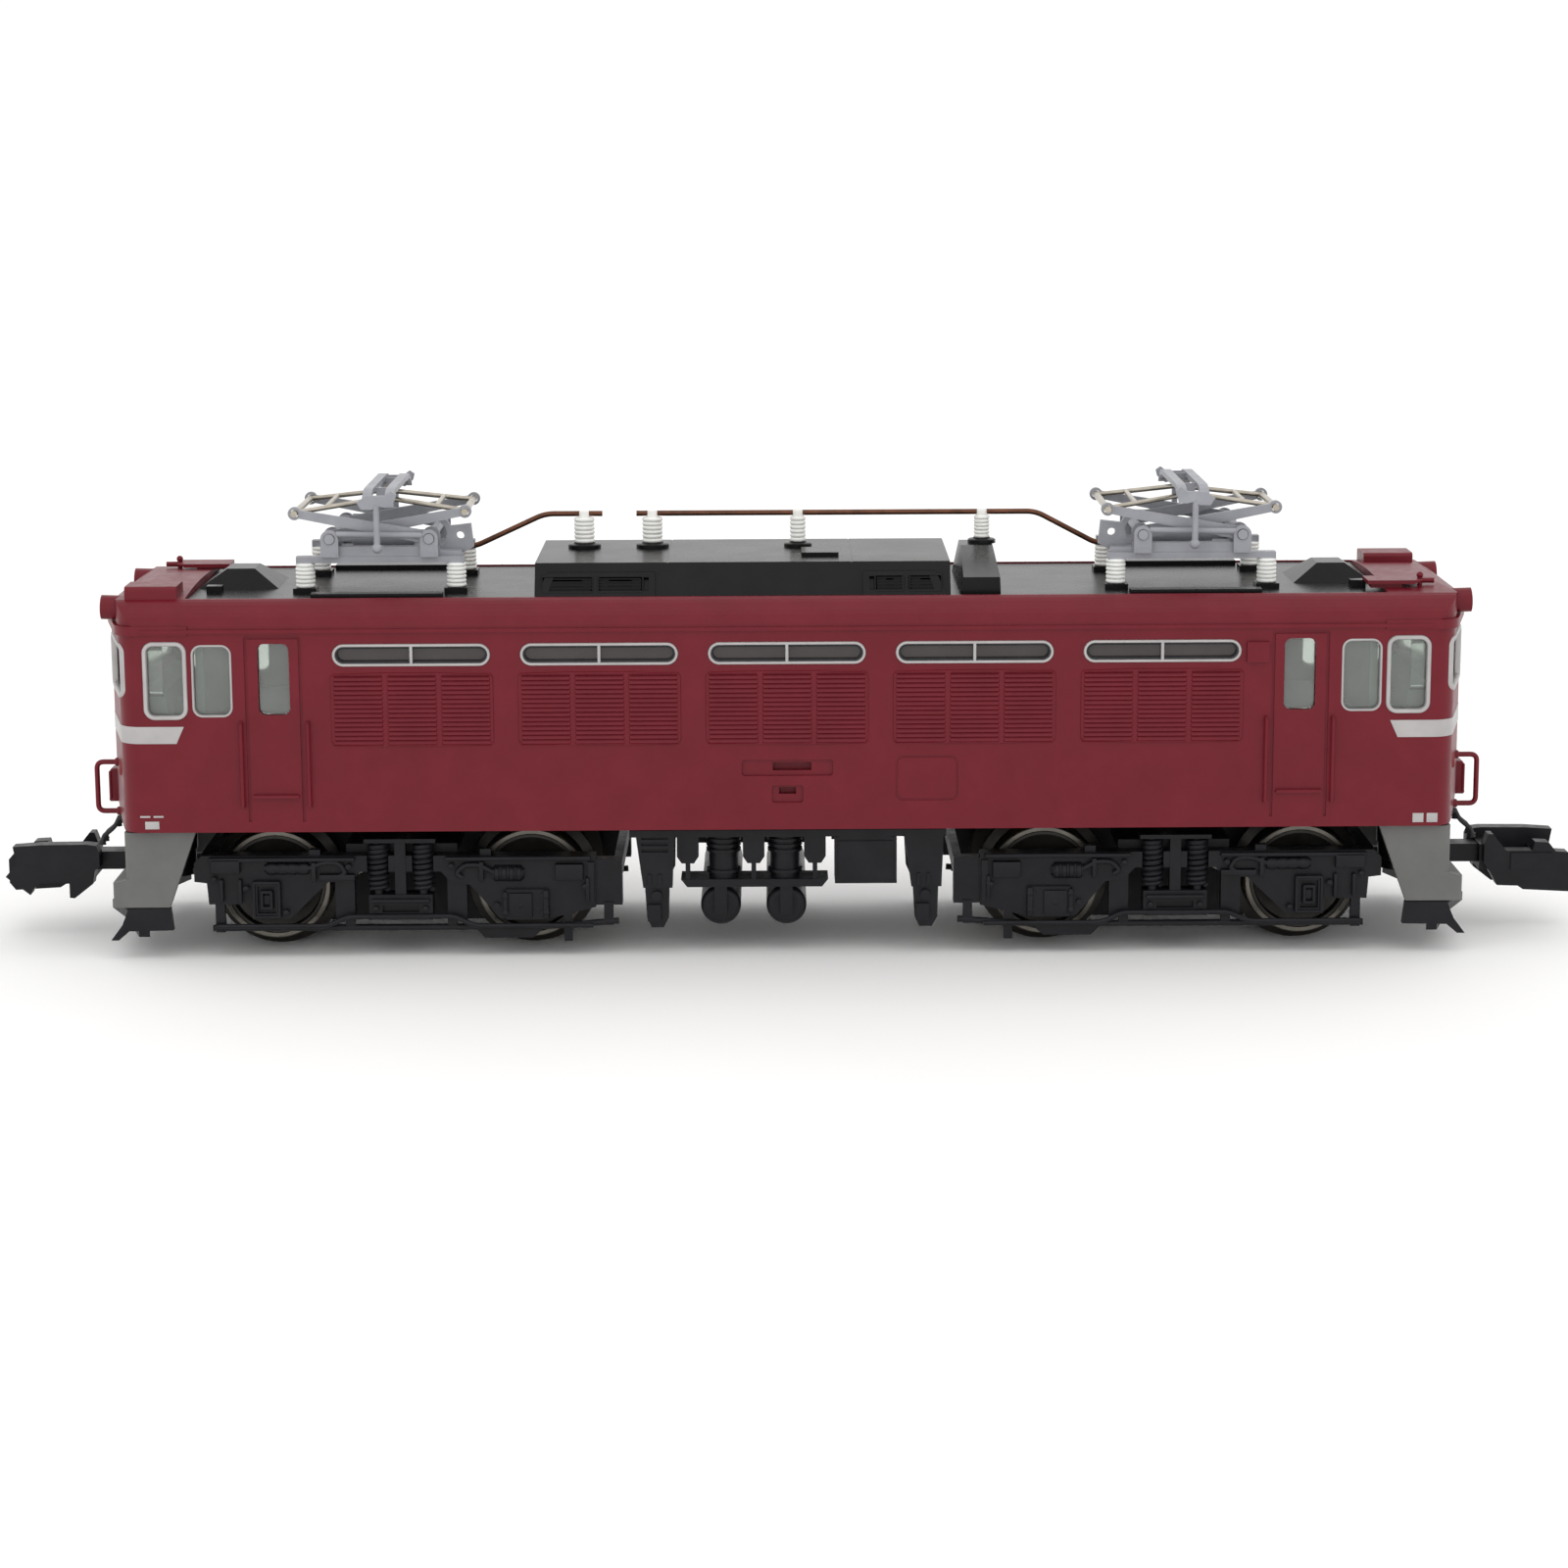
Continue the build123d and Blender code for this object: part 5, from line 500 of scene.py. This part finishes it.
class STUDIO_OT_stage(bpy.types.Operator):
    """Lays the pale floor and sets the lamps, the room and the camera"""

    bl_idname = "studio.stage"
    bl_label = "Studio stage"

    def execute(self, context):
        settings = context.scene.studio_settings
        mesh = bpy.data.meshes.new("floor")
        corners = ((-1, -1), (1, -1), (1, 1), (-1, 1))
        mesh.from_pydata([(x * FLOOR_REACH, y * FLOOR_REACH, 0) for x, y in corners], [], [(0, 1, 2, 3)])
        floor = bpy.data.objects.new("floor", mesh)
        context.scene.collection.objects.link(floor)
        paper = finish("matt white paper", settings.floor_colour, "#F7F7F6", mottle_mm=60,
                       roughness=(0.7, 0.8), bump_depth=0.0, specular=0.2)
        mesh.materials.append(paper)
        for name, place, size, share in LAMPS:
            self.lamp(context, name, place, size, share * settings.key_light)
        self.room(context, settings)
        self.camera(context, settings)
        context.scene.view_settings.view_transform = "Standard"
        return {"FINISHED"}

    def lamp(self, context, name, place, size, power):
        """A rectangular lamp that looks at the middle of the model."""
        data = bpy.data.lights.new(name, "AREA")
        data.shape = "RECTANGLE"
        data.size, data.size_y = size
        data.energy = power
        lamp = bpy.data.objects.new(name, data)
        context.scene.collection.objects.link(lamp)
        lamp.location = place
        aim = Vector(LAMP_AIM) - lamp.location
        lamp.rotation_euler = aim.to_track_quat("-Z", "Y").to_euler()

    def room(self, context, settings):
        world = bpy.data.worlds.new("pale room")
        world.use_nodes = True
        background = world.node_tree.nodes["Background"]
        background.inputs["Color"].default_value = srgb("#FFFFFF")
        background.inputs["Strength"].default_value = settings.room_light
        context.scene.world = world

    def camera(self, context, settings):
        """Turns yaw, pitch and roll into the camera's right, up and back directions."""
        yaw, pitch, roll = settings.camera_yaw, settings.camera_pitch, settings.camera_roll
        ahead = np.array([math.sin(yaw), math.cos(yaw), 0.0])
        right = np.array([math.cos(yaw), -math.sin(yaw), 0.0])
        upright = np.array([0.0, 0.0, 1.0])
        forward = ahead * math.cos(pitch) - upright * math.sin(pitch)
        up = upright * math.cos(pitch) + ahead * math.sin(pitch)
        rolled_right = right * math.cos(roll) + up * math.sin(roll)
        rolled_up = up * math.cos(roll) - right * math.sin(roll)
        data = bpy.data.cameras.new("camera")
        data.sensor_width = 36.0
        data.lens = settings.focal_length
        data.clip_start = 0.01
        camera = bpy.data.objects.new("camera", data)
        context.scene.collection.objects.link(camera)
        turned = Matrix(np.stack([rolled_right, rolled_up, -forward], 1).tolist()).to_4x4()
        camera.matrix_world = Matrix.Translation(tuple(settings.camera_place)) @ turned
        context.scene.camera = camera


class LOCO_OT_frame_finishes(bpy.types.Operator):
    """Paints every part of the frame in its own finish"""

    bl_idname = "loco.frame_finishes"
    bl_label = "Frame finishes"

    def execute(self, context):
        for node, slot in node_slots().items():
            coat(frame["nodes"][node], slot)
        return {"FINISHED"}


class NoseTrimSettings(bpy.types.PropertyGroup):
    """The silver band round each nose and the small printed marks."""

    low: length("Low edge", "Height of the band's low edge", 14.3)
    high: length("High edge", "Height of the band's high edge", 15.4)
    high_start: length("High start", "Where the high edge starts along the side", 38.4)
    low_start: length("Low start", "Where the low edge starts along the side", 38.9)
    proud: length("Proud", "How far the printed foil stands out", 0.03)
    nose: length("Nose", "Distance from the middle to the flat of the nose", 43.9)
    nose_half_width: length("Nose half width", "Half the width of the flat of the nose", 3.0)
    half_width: length("Half width", "Half the width of the body", 9.33)
    corner: length("Corner", "Radius of the body's corners seen from above", 1.5)
    sweep: angle("Sweep", "How far the nose's cheeks lean back", 14.0)


class LOCO_OT_nose_trim(bpy.types.Operator):
    """Lays the silver band round each nose and the small generic marks above the sills"""

    bl_idname = "loco.nose_trim"
    bl_label = "Nose trim"

    def execute(self, context):
        settings = context.scene.nose_trim_settings
        band = self.band(settings)
        add_piece("nose_stripes", [band, mirrored(band, (-1, -1, 1))], ROOT, "silver_trim")
        face = settings.half_width / MM
        marks = []
        for x_low, x_high, z_low, z_high in MARKS:
            mark = rounded_box((x_low, -face - MARK_PROUD, z_low), (x_high, -face + MARK_PROUD, z_high),
                               0.5 * MARK_PROUD)
            marks += [mark, mirrored(mark, (-1, -1, 1))]
        add_piece("printed_marks", marks, ROOT, "silver_trim")
        return {"FINISHED"}

    def plan(self, settings, start, proud):
        """The nose seen from above: side wall, corner arc, swept cheek, flat, and back the same way.

        An arc point is its centre plus the corner radius times (sin a, -cos a), with a from 0 to
        90 degrees less the sweep.
        """
        width, sweep, radius = settings.half_width, settings.sweep, settings.corner
        cheek_x = settings.nose - (width - settings.nose_half_width) * math.tan(sweep)
        turn = math.pi / 2 - sweep
        a = np.linspace(0, turn, 12)
        arc_x = cheek_x - radius * math.tan(turn / 2) + (radius + proud) * np.sin(a)
        arc_y = radius - width - (radius + proud) * np.cos(a)
        x = np.concatenate([[start], arc_x, [settings.nose + proud]])
        y = np.concatenate([[-width - proud], arc_y, [-settings.nose_half_width]])
        return np.concatenate([x, x[::-1]]), np.concatenate([y, -y[::-1]])

    def band(self, settings):
        """The plan carried up as a thin strip: its four long edges are outer low, outer high,
        inner high and inner low, and the two high ones start further back."""
        edges = []
        for start, height, proud in (
                (settings.low_start, settings.low, settings.proud),
                (settings.high_start, settings.high, settings.proud),
                (settings.high_start, settings.high, -settings.proud),
                (settings.low_start, settings.low, -settings.proud)):
            x, y = self.plan(settings, start, proud)
            edges.append(np.stack([x, y, np.full_like(x, height)], -1))
        points = np.stack(edges, 1)
        rows = len(points)
        return points.reshape(-1, 3), grid_faces(rows, 4, wrap_columns=True) + end_caps(rows, 4)


class RoofSettings(bpy.types.PropertyGroup):
    """The insulators and bus bars on the roof."""

    shed_count: bpy.props.IntProperty(name="Sheds", description="Discs on each insulator", default=6)
    core: number("Core", "Radius between two discs as a share of the disc's radius", 0.82)
    bar_radius: length("Bar radius", "Radius of the copper bus bars", 0.18)
    bar_height: length("Bar height", "Height of the bus bars along the roof", 27.55)
    bar_offset: length("Bar offset", "Distance of the bus bars from the centre line", 1.9)


class LOCO_OT_insulators(bpy.types.Operator):
    """Turns the ribbed insulators under the bus bars and the pantographs"""

    bl_idname = "loco.insulators"
    bl_label = "Roof insulators"

    def execute(self, context):
        settings = context.scene.roof_settings
        low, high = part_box("roof_insulators")
        posts = []
        for x, radius, foot in BUS_POSTS:
            posts.append(self.post(settings, x, settings.bar_offset / MM, foot, high[2] / MM, radius))
        for centre in (-PANTO_X, PANTO_X):
            for dx in SIDES:
                for dy in SIDES:
                    place = (centre + dx * PANTO_INSULATOR_X, dy * PANTO_INSULATOR_Y)
                    posts.append(self.post(settings, *place, low[2] / MM, PANTO_FOOT_Z, PANTO_INSULATOR_R))
        add_piece("insulator_posts", posts, ROOT, "porcelain_white", ["roof_insulators"])
        return {"FINISHED"}

    def post(self, settings, x, y, low, high, radius):
        """A turned post: with p running from 0 to 1 over each shed, the radius is the core plus
        the rest times sin(pi p) to the power 0.45, so the discs are round-edged and the grooves sharp."""
        t = np.linspace(0, 1, settings.shed_count * 10 + 1)
        p = (t * settings.shed_count) % 1.0
        core = settings.core * radius
        swell = core + (radius - core) * np.abs(np.sin(np.pi * p)) ** 0.45
        return lathe(np.stack([swell, low + t * (high - low)], -1), (x, y, 0), around=28)


class LOCO_OT_bus_bars(bpy.types.Operator):
    """Bends the two copper bus bars between the pantographs and the main switch"""

    bl_idname = "loco.bus_bars"
    bl_label = "Bus bars"

    def execute(self, context):
        settings = context.scene.roof_settings
        y, top = settings.bar_offset / MM, settings.bar_height / MM
        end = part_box("bus_bars")[1][0] / MM - 0.03
        low = PANTO_FOOT_Z + 0.2
        bars = []
        for start, turn, stop in ((-1, -15.9, -12.1), (1, 16.5, -9.85)):
            route = [(start * end, y, low), (start * (end - 0.8), y, low + 0.1),
                     (turn, y, top), (stop, y, top)]
            path = rounded_corners(route, 0.6) * MM
            bars.append(tube(path, settings.bar_radius, around=14))
        add_piece("bent_bus_bars", bars, ROOT, "copper_wire", ["bus_bars"])
        return {"FINISHED"}


class SpringSettings(bpy.types.PropertyGroup):
    """The coil springs on the bogies."""

    wire: length("Wire", "Radius of the spring wire", 0.17)
    outer: length("Outer radius", "Outer radius of a spring", 0.72)
    coils: number("Coils", "Turns in each spring", 9.0)
    spacing: length("Spacing", "Distance of each spring from the bogie's middle", 1.45)


class LOCO_OT_springs(bpy.types.Operator):
    """Winds the bolster springs of both bogies"""

    bl_idname = "loco.springs"
    bl_label = "Bogie springs"

    def execute(self, context):
        settings = context.scene.spring_settings
        for name in BOGIES:
            node = f"bogie_{name}_springs"
            low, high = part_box(node)
            y = high[1] - settings.outer
            centre_x = (low[0] + high[0]) / 2
            springs = []
            for dx in SIDES:
                for dy in SIDES:
                    place = np.array([centre_x + dx * settings.spacing, dy * y, 0.0])
                    springs.append(self.spring(settings, place, low[2], high[2]))
            add_piece(f"wound_springs_{name}", springs, f"bogie_{name}", "bogie_black", [node])
        return {"FINISHED"}

    def spring(self, settings, place, low, high):
        """A helix: the angle grows evenly and the height as 0.8 t + 0.2 (3 t t - 2 t t t), so the
        end turns lie a little closer together."""
        t = np.linspace(0, 1, int(settings.coils * 22))
        angle = 2 * np.pi * settings.coils * t
        turn_r = settings.outer - settings.wire
        ease = 0.8 * t + 0.2 * (3 * t ** 2 - 2 * t ** 3)
        height = low + settings.wire + (high - low - 2 * settings.wire) * ease
        path = np.stack([turn_r * np.cos(angle), turn_r * np.sin(angle), height], -1) + place
        return tube(path, settings.wire, around=8)


class NoseFittingSettings(bpy.types.PropertyGroup):
    """The handrails, jumper boxes and air hoses on the noses."""

    rail: length("Rail", "Radius of the handrails", 0.17)
    hose: length("Hose", "Radius of the moulded air hoses", 0.15)


class LOCO_OT_handrails(bpy.types.Operator):
    """Bends the handrails and shapes the jumper boxes on both noses"""

    bl_idname = "loco.handrails"
    bl_label = "Handrails"

    def execute(self, context):
        settings = context.scene.nose_fitting_settings
        _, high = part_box("handrails")
        reach, y = ((high[axis] - settings.rail) / MM for axis in (0, 1))
        low_z, high_z = RAIL_Z
        route = [(RAIL_ROOT_X, y, low_z), (reach, y, low_z), (reach, y, high_z), (RAIL_ROOT_X, y, high_z)]
        rail = tube(rounded_corners(route, 0.45) * MM, settings.rail, around=14)
        pieces = four_corners(rail)
        for z in RAIL_Z:
            pieces += four_corners(lathe(RAIL_COLLAR, (0, y, z), "X", 20))
        box, lid = rounded_box(*JUMPER_BOX), rounded_box(*JUMPER_LID)
        hinge_x, hinge_z = JUMPER_HINGE
        latch = lathe(JUMPER_LATCH, (hinge_x, 0, hinge_z), "Y", 16)
        pieces += four_corners(box) + four_corners(lid) + four_corners(latch)
        add_piece("nose_handrails", pieces, ROOT, "maroon_plastic", ["handrails"])
        return {"FINISHED"}


class LOCO_OT_brake_hoses(bpy.types.Operator):
    """Moulds the stiff air hoses that hang from the noses, with their brackets and couplings"""

    bl_idname = "loco.brake_hoses"
    bl_label = "Brake hoses"

    def execute(self, context):
        settings = context.scene.nose_fitting_settings
        low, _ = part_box("brake_hoses")
        bottom = low[2] / MM
        root, top = HOSE_ROOT
        hoses = []
        for y in HOSE_Y:
            route = [(root, y, top), (root + 0.35, y, 7.75), (root + 1.1, y, 7.15), (root + 1.2, y, 6.75)]
            hose = tube(rounded_corners(route, 0.35) * MM, settings.hose, around=12)
            fitting = lathe(HOSE_COUPLING, (root + 1.2, y, bottom), "Z", 20)
            bracket = rounded_box((root - 0.6, y - 0.2, 8.21), (root + 0.12, y + 0.2, 8.51), 0.07)
            hoses += four_corners(hose) + four_corners(fitting) + four_corners(bracket)
        add_piece("moulded_brake_hoses", hoses, ROOT, "hose_black", ["brake_hoses"])
        return {"FINISHED"}


class SideSettings(bpy.types.PropertyGroup):
    """The window frames and louvres of the sides."""

    pill_frame: length("Pill frame", "Width of the bright frames of the long windows", 0.2)
    cab_frame: length("Cab frame", "Width of the bright frames of the forward cab windows", 0.3)
    proud: length("Proud", "How far the frames stand out of the side", 0.12)
    slat_depth: length("Slat depth", "How far a louvre slat's low edge stands out", 0.16)


class LOCO_OT_side_frames(bpy.types.Operator):
    """Shapes the bright pill frames of the side windows, their mullions and their dark gaskets"""

    bl_idname = "loco.side_frames"
    bl_label = "Side window frames"

    def execute(self, context):
        settings = context.scene.side_settings
        proud, width = settings.proud / MM, settings.pill_frame / MM
        frames, gaskets = [], []
        for centre in BAYS:
            half, rise = PILL_HALF
            window = (centre - half, centre + half, PILL_Z - rise, PILL_Z + rise)
            ring = on_side(bead(window, width, rise, FRAME_ROOT, proud), HALF_WIDTH)
            gasket = on_side(bead(window, GASKET_WIDTH, rise, FRAME_ROOT, GASKET_TOP), HALF_WIDTH)
            low = (centre - 0.1, -HALF_WIDTH - proud * 0.8, window[2] + 0.1)
            high = (centre + 0.1, -HALF_WIDTH + 0.3, window[3] - 0.1)
            mullion = rounded_box(low, high, 0.06)
            for part in (ring, mullion):
                frames += [part, mirrored(part, (1, -1, 1))]
            gaskets += [gasket, mirrored(gasket, (1, -1, 1))]
        add_piece("pill_window_frames", frames, ROOT, "silver_trim", ["side_window_frames"])
        add_piece("pill_window_gaskets", gaskets, ROOT, "hose_black")
        return {"FINISHED"}


class LOCO_OT_cab_frames(bpy.types.Operator):
    """Shapes the round-cornered frames of the cab side windows and of the windscreens"""

    bl_idname = "loco.cab_frames"
    bl_label = "Cab window frames"

    def execute(self, context):
        settings = context.scene.side_settings
        proud, width = settings.proud / MM, settings.cab_frame / MM
        frames = []
        for window, breadth, radius, out in ((FRONT_CAB_WINDOW, width, 0.72, proud),
                                             (REAR_CAB_WINDOW, 0.16, 0.66, 0.05)):
            ring = bead(self.grown(window, SIDE_LAP), breadth, radius, FRAME_ROOT, out)
            frames += four_corners(on_side(ring, HALF_WIDTH))
        for window, copies in ((WINDSCREEN, four_corners), (NOSE_WINDOW, self.both_ends)):
            frames += copies(self.on_nose(context, bead(self.grown(window, NOSE_LAP), 0.3, 0.6, -0.3, proud)))
        add_piece("cab_window_rings", frames, ROOT, "silver_trim", ["cab_window_frames"])
        return {"FINISHED"}

    def grown(self, window, lap):
        return window[0] - lap, window[1] + lap, window[2] - lap, window[3] + lap

    def both_ends(self, part):
        return [part, mirrored(part, (-1, 1, 1))]

    def on_nose(self, context, part):
        """Bends (across, up, depth) points onto the nose: X falls by the tangent of the sweep beyond the
        flat, then follows the corner's circle."""
        settings = context.scene.nose_trim_settings
        y, z, depth = part[0].T
        sweep, radius = settings.sweep, settings.corner / MM
        half_width, flat, nose = (value / MM for value in
                                  (settings.half_width, settings.nose_half_width, settings.nose))
        cheek = nose - np.maximum(np.abs(y) - flat, 0) * math.tan(sweep)
        corner_x = nose - (half_width - flat) * math.tan(sweep) - radius * math.tan((math.pi / 2 - sweep) / 2)
        inward = np.abs(y) - (half_width - radius)
        arc = corner_x + np.sqrt(np.maximum(radius ** 2 - inward ** 2, 0.02))
        x = np.where(inward > radius * math.sin(sweep), arc, cheek) + depth
        return np.stack([x, y, z], -1) * MM, part[1]


class LOCO_OT_louvres(bpy.types.Operator):
    """Presses the louvre panels below the side windows"""

    bl_idname = "loco.louvres"
    bl_label = "Louvre panels"

    def execute(self, context):
        settings = context.scene.side_settings
        for name, side in (("near", 1), ("far", -1)):
            panels = [mirrored(self.panel(settings, centre), (1, side, 1)) for centre in BAYS]
            add_piece(f"louvre_panels_{name}", panels, ROOT, "maroon_plastic", smooth=False)
        return {"FINISHED"}

    def panel(self, settings, centre):
        """A height over (x, z): each slat stands out most at its low edge and falls evenly to the
        next one, the bars between the three groups are level, and the rounded rim drops into the side."""
        x_low, x_high = centre - LOUVRE_HALF, centre + LOUVRE_HALF
        z_low, z_high = LOUVRE_Z
        group = (2 * LOUVRE_HALF - 2 * LOUVRE_RIM - 2 * LOUVRE_BAR) / 3
        corner = np.array([0, 0.01, 0.06, 0.14, 0.24, LOUVRE_RIM])
        lefts = x_low + LOUVRE_RIM + np.arange(3) * (group + LOUVRE_BAR)
        bars = np.concatenate([[left, left + 0.04, left + group - 0.04, left + group] for left in lefts])
        x = np.unique(np.concatenate([x_low + corner, bars, x_high - corner]))
        share = np.array([0.0, 0.3, 0.6, 0.9, 0.97])
        pitch = (z_high - z_low - 2 * LOUVRE_RIM) / SLATS
        slats = z_low + LOUVRE_RIM + (np.arange(SLATS)[:, None] + share) * pitch
        z = np.unique(np.concatenate([z_low + corner, slats.ravel(), z_high - corner]))
        across, up = np.meshgrid(x, z)
        position = (up - z_low - LOUVRE_RIM) / pitch
        share = position % 1.0
        slope = np.where(share > 0.93, 1.0, 1 - share)
        inside = np.zeros_like(across)
        for left in lefts:
            inside = np.maximum(inside, (across > left + 0.02) & (across < left + group - 0.02))
        depth = settings.slat_depth / MM
        slatted = inside * (position > 0) * (position < SLATS) > 0
        height = np.where(slatted, 0.015 + depth * slope, 0.45 * depth)
        reach_x = np.maximum(np.abs(across - centre) - (LOUVRE_HALF - LOUVRE_CORNER), 0)
        reach_z = np.maximum(np.abs(up - (z_low + z_high) / 2) - ((z_high - z_low) / 2 - LOUVRE_CORNER), 0)
        edge = LOUVRE_CORNER - np.hypot(reach_x, reach_z)
        height = np.where(edge > 0.03, height, -0.05)
        points = np.stack([across, -HALF_WIDTH - height, up], -1).reshape(-1, 3) * MM
        rows, columns = across.shape
        order = np.arange(rows * columns).reshape(rows, columns)
        rim = np.concatenate([order[0], order[1:, -1], order[-1, -2::-1], order[-2:0:-1, 0]])
        return points, grid_faces(rows, columns) + [rim[::-1].tolist()]


class LOCO_OT_bus_supports(bpy.types.Operator):
    """Turns the black feet and the pale caps that hold the bus bars on their insulators"""

    bl_idname = "loco.bus_supports"
    bl_label = "Bus bar supports"

    def execute(self, context):
        settings = context.scene.roof_settings
        y, top = settings.bar_offset / MM, settings.bar_height / MM
        feet, caps = [], []
        for x, radius, foot in BUS_POSTS:
            wide = radius + 0.4
            step = ((wide, -0.36), (wide, -0.14), (wide - 0.08, -0.08), (radius + 0.08, -0.06),
                    (radius + 0.02, 0.02))
            feet.append(lathe(step, (x, y, foot)))
            caps.append(lathe(BUS_CAP, (x, y, top)))
        add_piece("bus_bar_feet", feet, ROOT, "roof_black", ["bus_clamps"])
        add_piece("bus_bar_caps", caps, ROOT, "porcelain_white")
        return {"FINISHED"}


class LOCO_OT_hood_panes(bpy.types.Operator):
    """Sets the dark glossy intake panes, darkened with painted shade, and their rims into the sloping hood
    sides
    """

    bl_idname = "loco.hood_panes"
    bl_label = "Hood intake panes"

    def execute(self, context):
        panes, rims = [], []
        for x_low, x_high in HOOD_PANES:
            z_low, z_high = HOOD_PANE_Z
            rim = self.on_slope(bead((x_low, x_high, z_low, z_high), 0.14, 0.2, -0.1, RIM_PROUD))
            inner = (x_low + 0.1, x_high - 0.1, z_low + 0.1, z_high - 0.1)
            pane = self.on_slope(bead(inner, z_high - z_low - 0.2, 0.2, -0.1, PANE_PROUD))
            rims += [rim, mirrored(rim, (1, -1, 1))]
            panes += [pane, mirrored(pane, (1, -1, 1))]
        add_piece("hood_intake_rims", rims, ROOT, "roof_black")
        # the panes' finish is gloss black darkened past the roof's black as painted shade of the intake
        # recesses
        add_piece("hood_intake_panes", panes, ROOT, "roof_black", look="intake_painted_shade")
        return {"FINISHED"}

    def on_slope(self, part):
        """The hood's side leans in: Y falls evenly with height."""
        x, z, depth = part[0].T
        y = HOOD_BASE[0] - (z - HOOD_BASE[1]) * HOOD_LEAN + depth
        return np.stack([x, -y, z], -1) * MM, part[1]


class BogieSettings(bpy.types.PropertyGroup):
    """The raised details on the bogie side frames."""

    face: length("Face", "Distance of the side frames' faces from the centre line", 8.3)
    relief: length("Relief", "How far the castings stand out of the frames", 0.18)
    lever: length("Lever", "Radius of the brake levers and rods", 0.17)


class LOCO_OT_bogie_details(bpy.types.Operator):
    """Raises the axle boxes, pads, bolts, brake cylinders, levers and ribs on the bogie sides"""

    bl_idname = "loco.bogie_details"
    bl_label = "Bogie details"

    def execute(self, context):
        settings = context.scene.bogie_settings
        near = self.castings(settings) + self.brake_gear(settings)
        both = near + [mirrored(part, (1, -1, 1)) for part in near]
        for name, side in BOGIES.items():
            low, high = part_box(f"bogie_{name}_springs")
            shift = ((low[0] + high[0]) / 2, 0, 0)
            placed = [(points * (side, 1, 1) + shift, faces) for points, faces in both]
            add_piece(f"bogie_{name}_details", placed, f"bogie_{name}", "bogie_black")
        return {"FINISHED"}

    def castings(self, settings):
        """Rounded pads, ribs and bolt heads on the near face, about the bogie's own middle."""
        face, relief = settings.face / MM, settings.relief / MM
        parts = []
        for u_low, u_high, z_low, z_high in PADS:
            parts.append(rounded_box((u_low, -face - relief, z_low), (u_high, -face + 0.3, z_high), 0.07))
        for u, z in BOLTS:
            parts.append(lathe(BOLT_HEAD, (u, -face, z), "Y", 8))
        for window in AXLE_BOX_RIMS:
            parts.append(on_side(bead(window, 0.24, 0.15, -0.2, relief + 0.04), face))
        return parts

    def brake_gear(self, settings):
        """Banded cylinders along the frame and round levers that hook over the beam."""
        face, radius = settings.face / MM, settings.lever
        parts = []
        for u_low, u_high, z, size in CYLINDERS:
            t = np.linspace(0, 1, 33)
            bands = size * (1 - 0.12 * (np.abs((t * 4) % 1 - 0.5) > 0.36))
            profile = np.stack([bands, u_low + t * (u_high - u_low)], -1)
            parts.append(lathe(profile, (0, -face + 0.2, z), "X", 24))
        for route in LEVERS:
            path = np.array([(u, -face - 0.02, z) for u, z in route])
            parts.append(tube(rounded_corners(path, 0.4) * MM, radius))
        return parts


class LOCO_OT_wheel_rims(bpy.types.Operator):
    """Turns the polished rim on the outer face of every wheel"""

    bl_idname = "loco.wheel_rims"
    bl_label = "Wheel rims"

    def execute(self, context):
        for name in BOGIES:
            for place in ("outer", "inner"):
                node = f"wheelset_{name}_{place}"
                low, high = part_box(node)
                centre = ((low[0] + high[0]) / 2 / MM, 0, (low[2] + high[2]) / 2 / MM)
                points, _ = lathe(WHEEL_RIM, centre, "Y", WHEEL_AROUND)
                faces = grid_faces(len(WHEEL_RIM), WHEEL_AROUND, wrap_rows=True, wrap_columns=True)
                part = (points, faces)
                add_piece(f"wheel_rims_{name}_{place}", [part, mirrored(part, (1, -1, 1))], node,
                          "tread_steel", look="rim_steel")
        return {"FINISHED"}


class LOCO_PT_panel(bpy.types.Panel):
    """Lists the steps that finish the model"""

    bl_label = "Locomotive"
    bl_idname = "LOCO_PT_panel"
    bl_space_type = "VIEW_3D"
    bl_region_type = "UI"
    bl_category = "Locomotive"

    def draw(self, context):
        for step in STEPS:
            self.layout.operator(step)


STEPS = ("loco.frame_finishes", "loco.side_frames", "loco.cab_frames", "loco.louvres",
         "loco.nose_trim", "loco.insulators", "loco.bus_supports", "loco.hood_panes",
         "loco.bogie_details", "loco.wheel_rims", "loco.bus_bars", "loco.springs",
         "loco.handrails", "loco.brake_hoses", "studio.stage")
SETTINGS = {
    "studio_settings": StudioSettings,
    "nose_trim_settings": NoseTrimSettings,
    "side_settings": SideSettings,
    "bogie_settings": BogieSettings,
    "roof_settings": RoofSettings,
    "spring_settings": SpringSettings,
    "nose_fitting_settings": NoseFittingSettings,
}
CLASSES = (*SETTINGS.values(), LOCO_OT_frame_finishes, LOCO_OT_side_frames, LOCO_OT_cab_frames,
           LOCO_OT_louvres, LOCO_OT_nose_trim, LOCO_OT_insulators, LOCO_OT_bus_supports,
           LOCO_OT_hood_panes, LOCO_OT_bogie_details, LOCO_OT_wheel_rims, LOCO_OT_bus_bars,
           LOCO_OT_springs, LOCO_OT_handrails, LOCO_OT_brake_hoses, STUDIO_OT_stage, LOCO_PT_panel)


def register():
    for item in CLASSES:
        bpy.utils.register_class(item)
    for name, settings in SETTINGS.items():
        setattr(bpy.types.Scene, name, bpy.props.PointerProperty(type=settings))


def unregister():
    for name in SETTINGS:
        delattr(bpy.types.Scene, name)
    for item in reversed(CLASSES):
        bpy.utils.unregister_class(item)


def main():
    register()
    for step in STEPS:
        group, name = step.split(".")
        getattr(getattr(bpy.ops, group), name)()


if __name__ == "__main__":
    main()
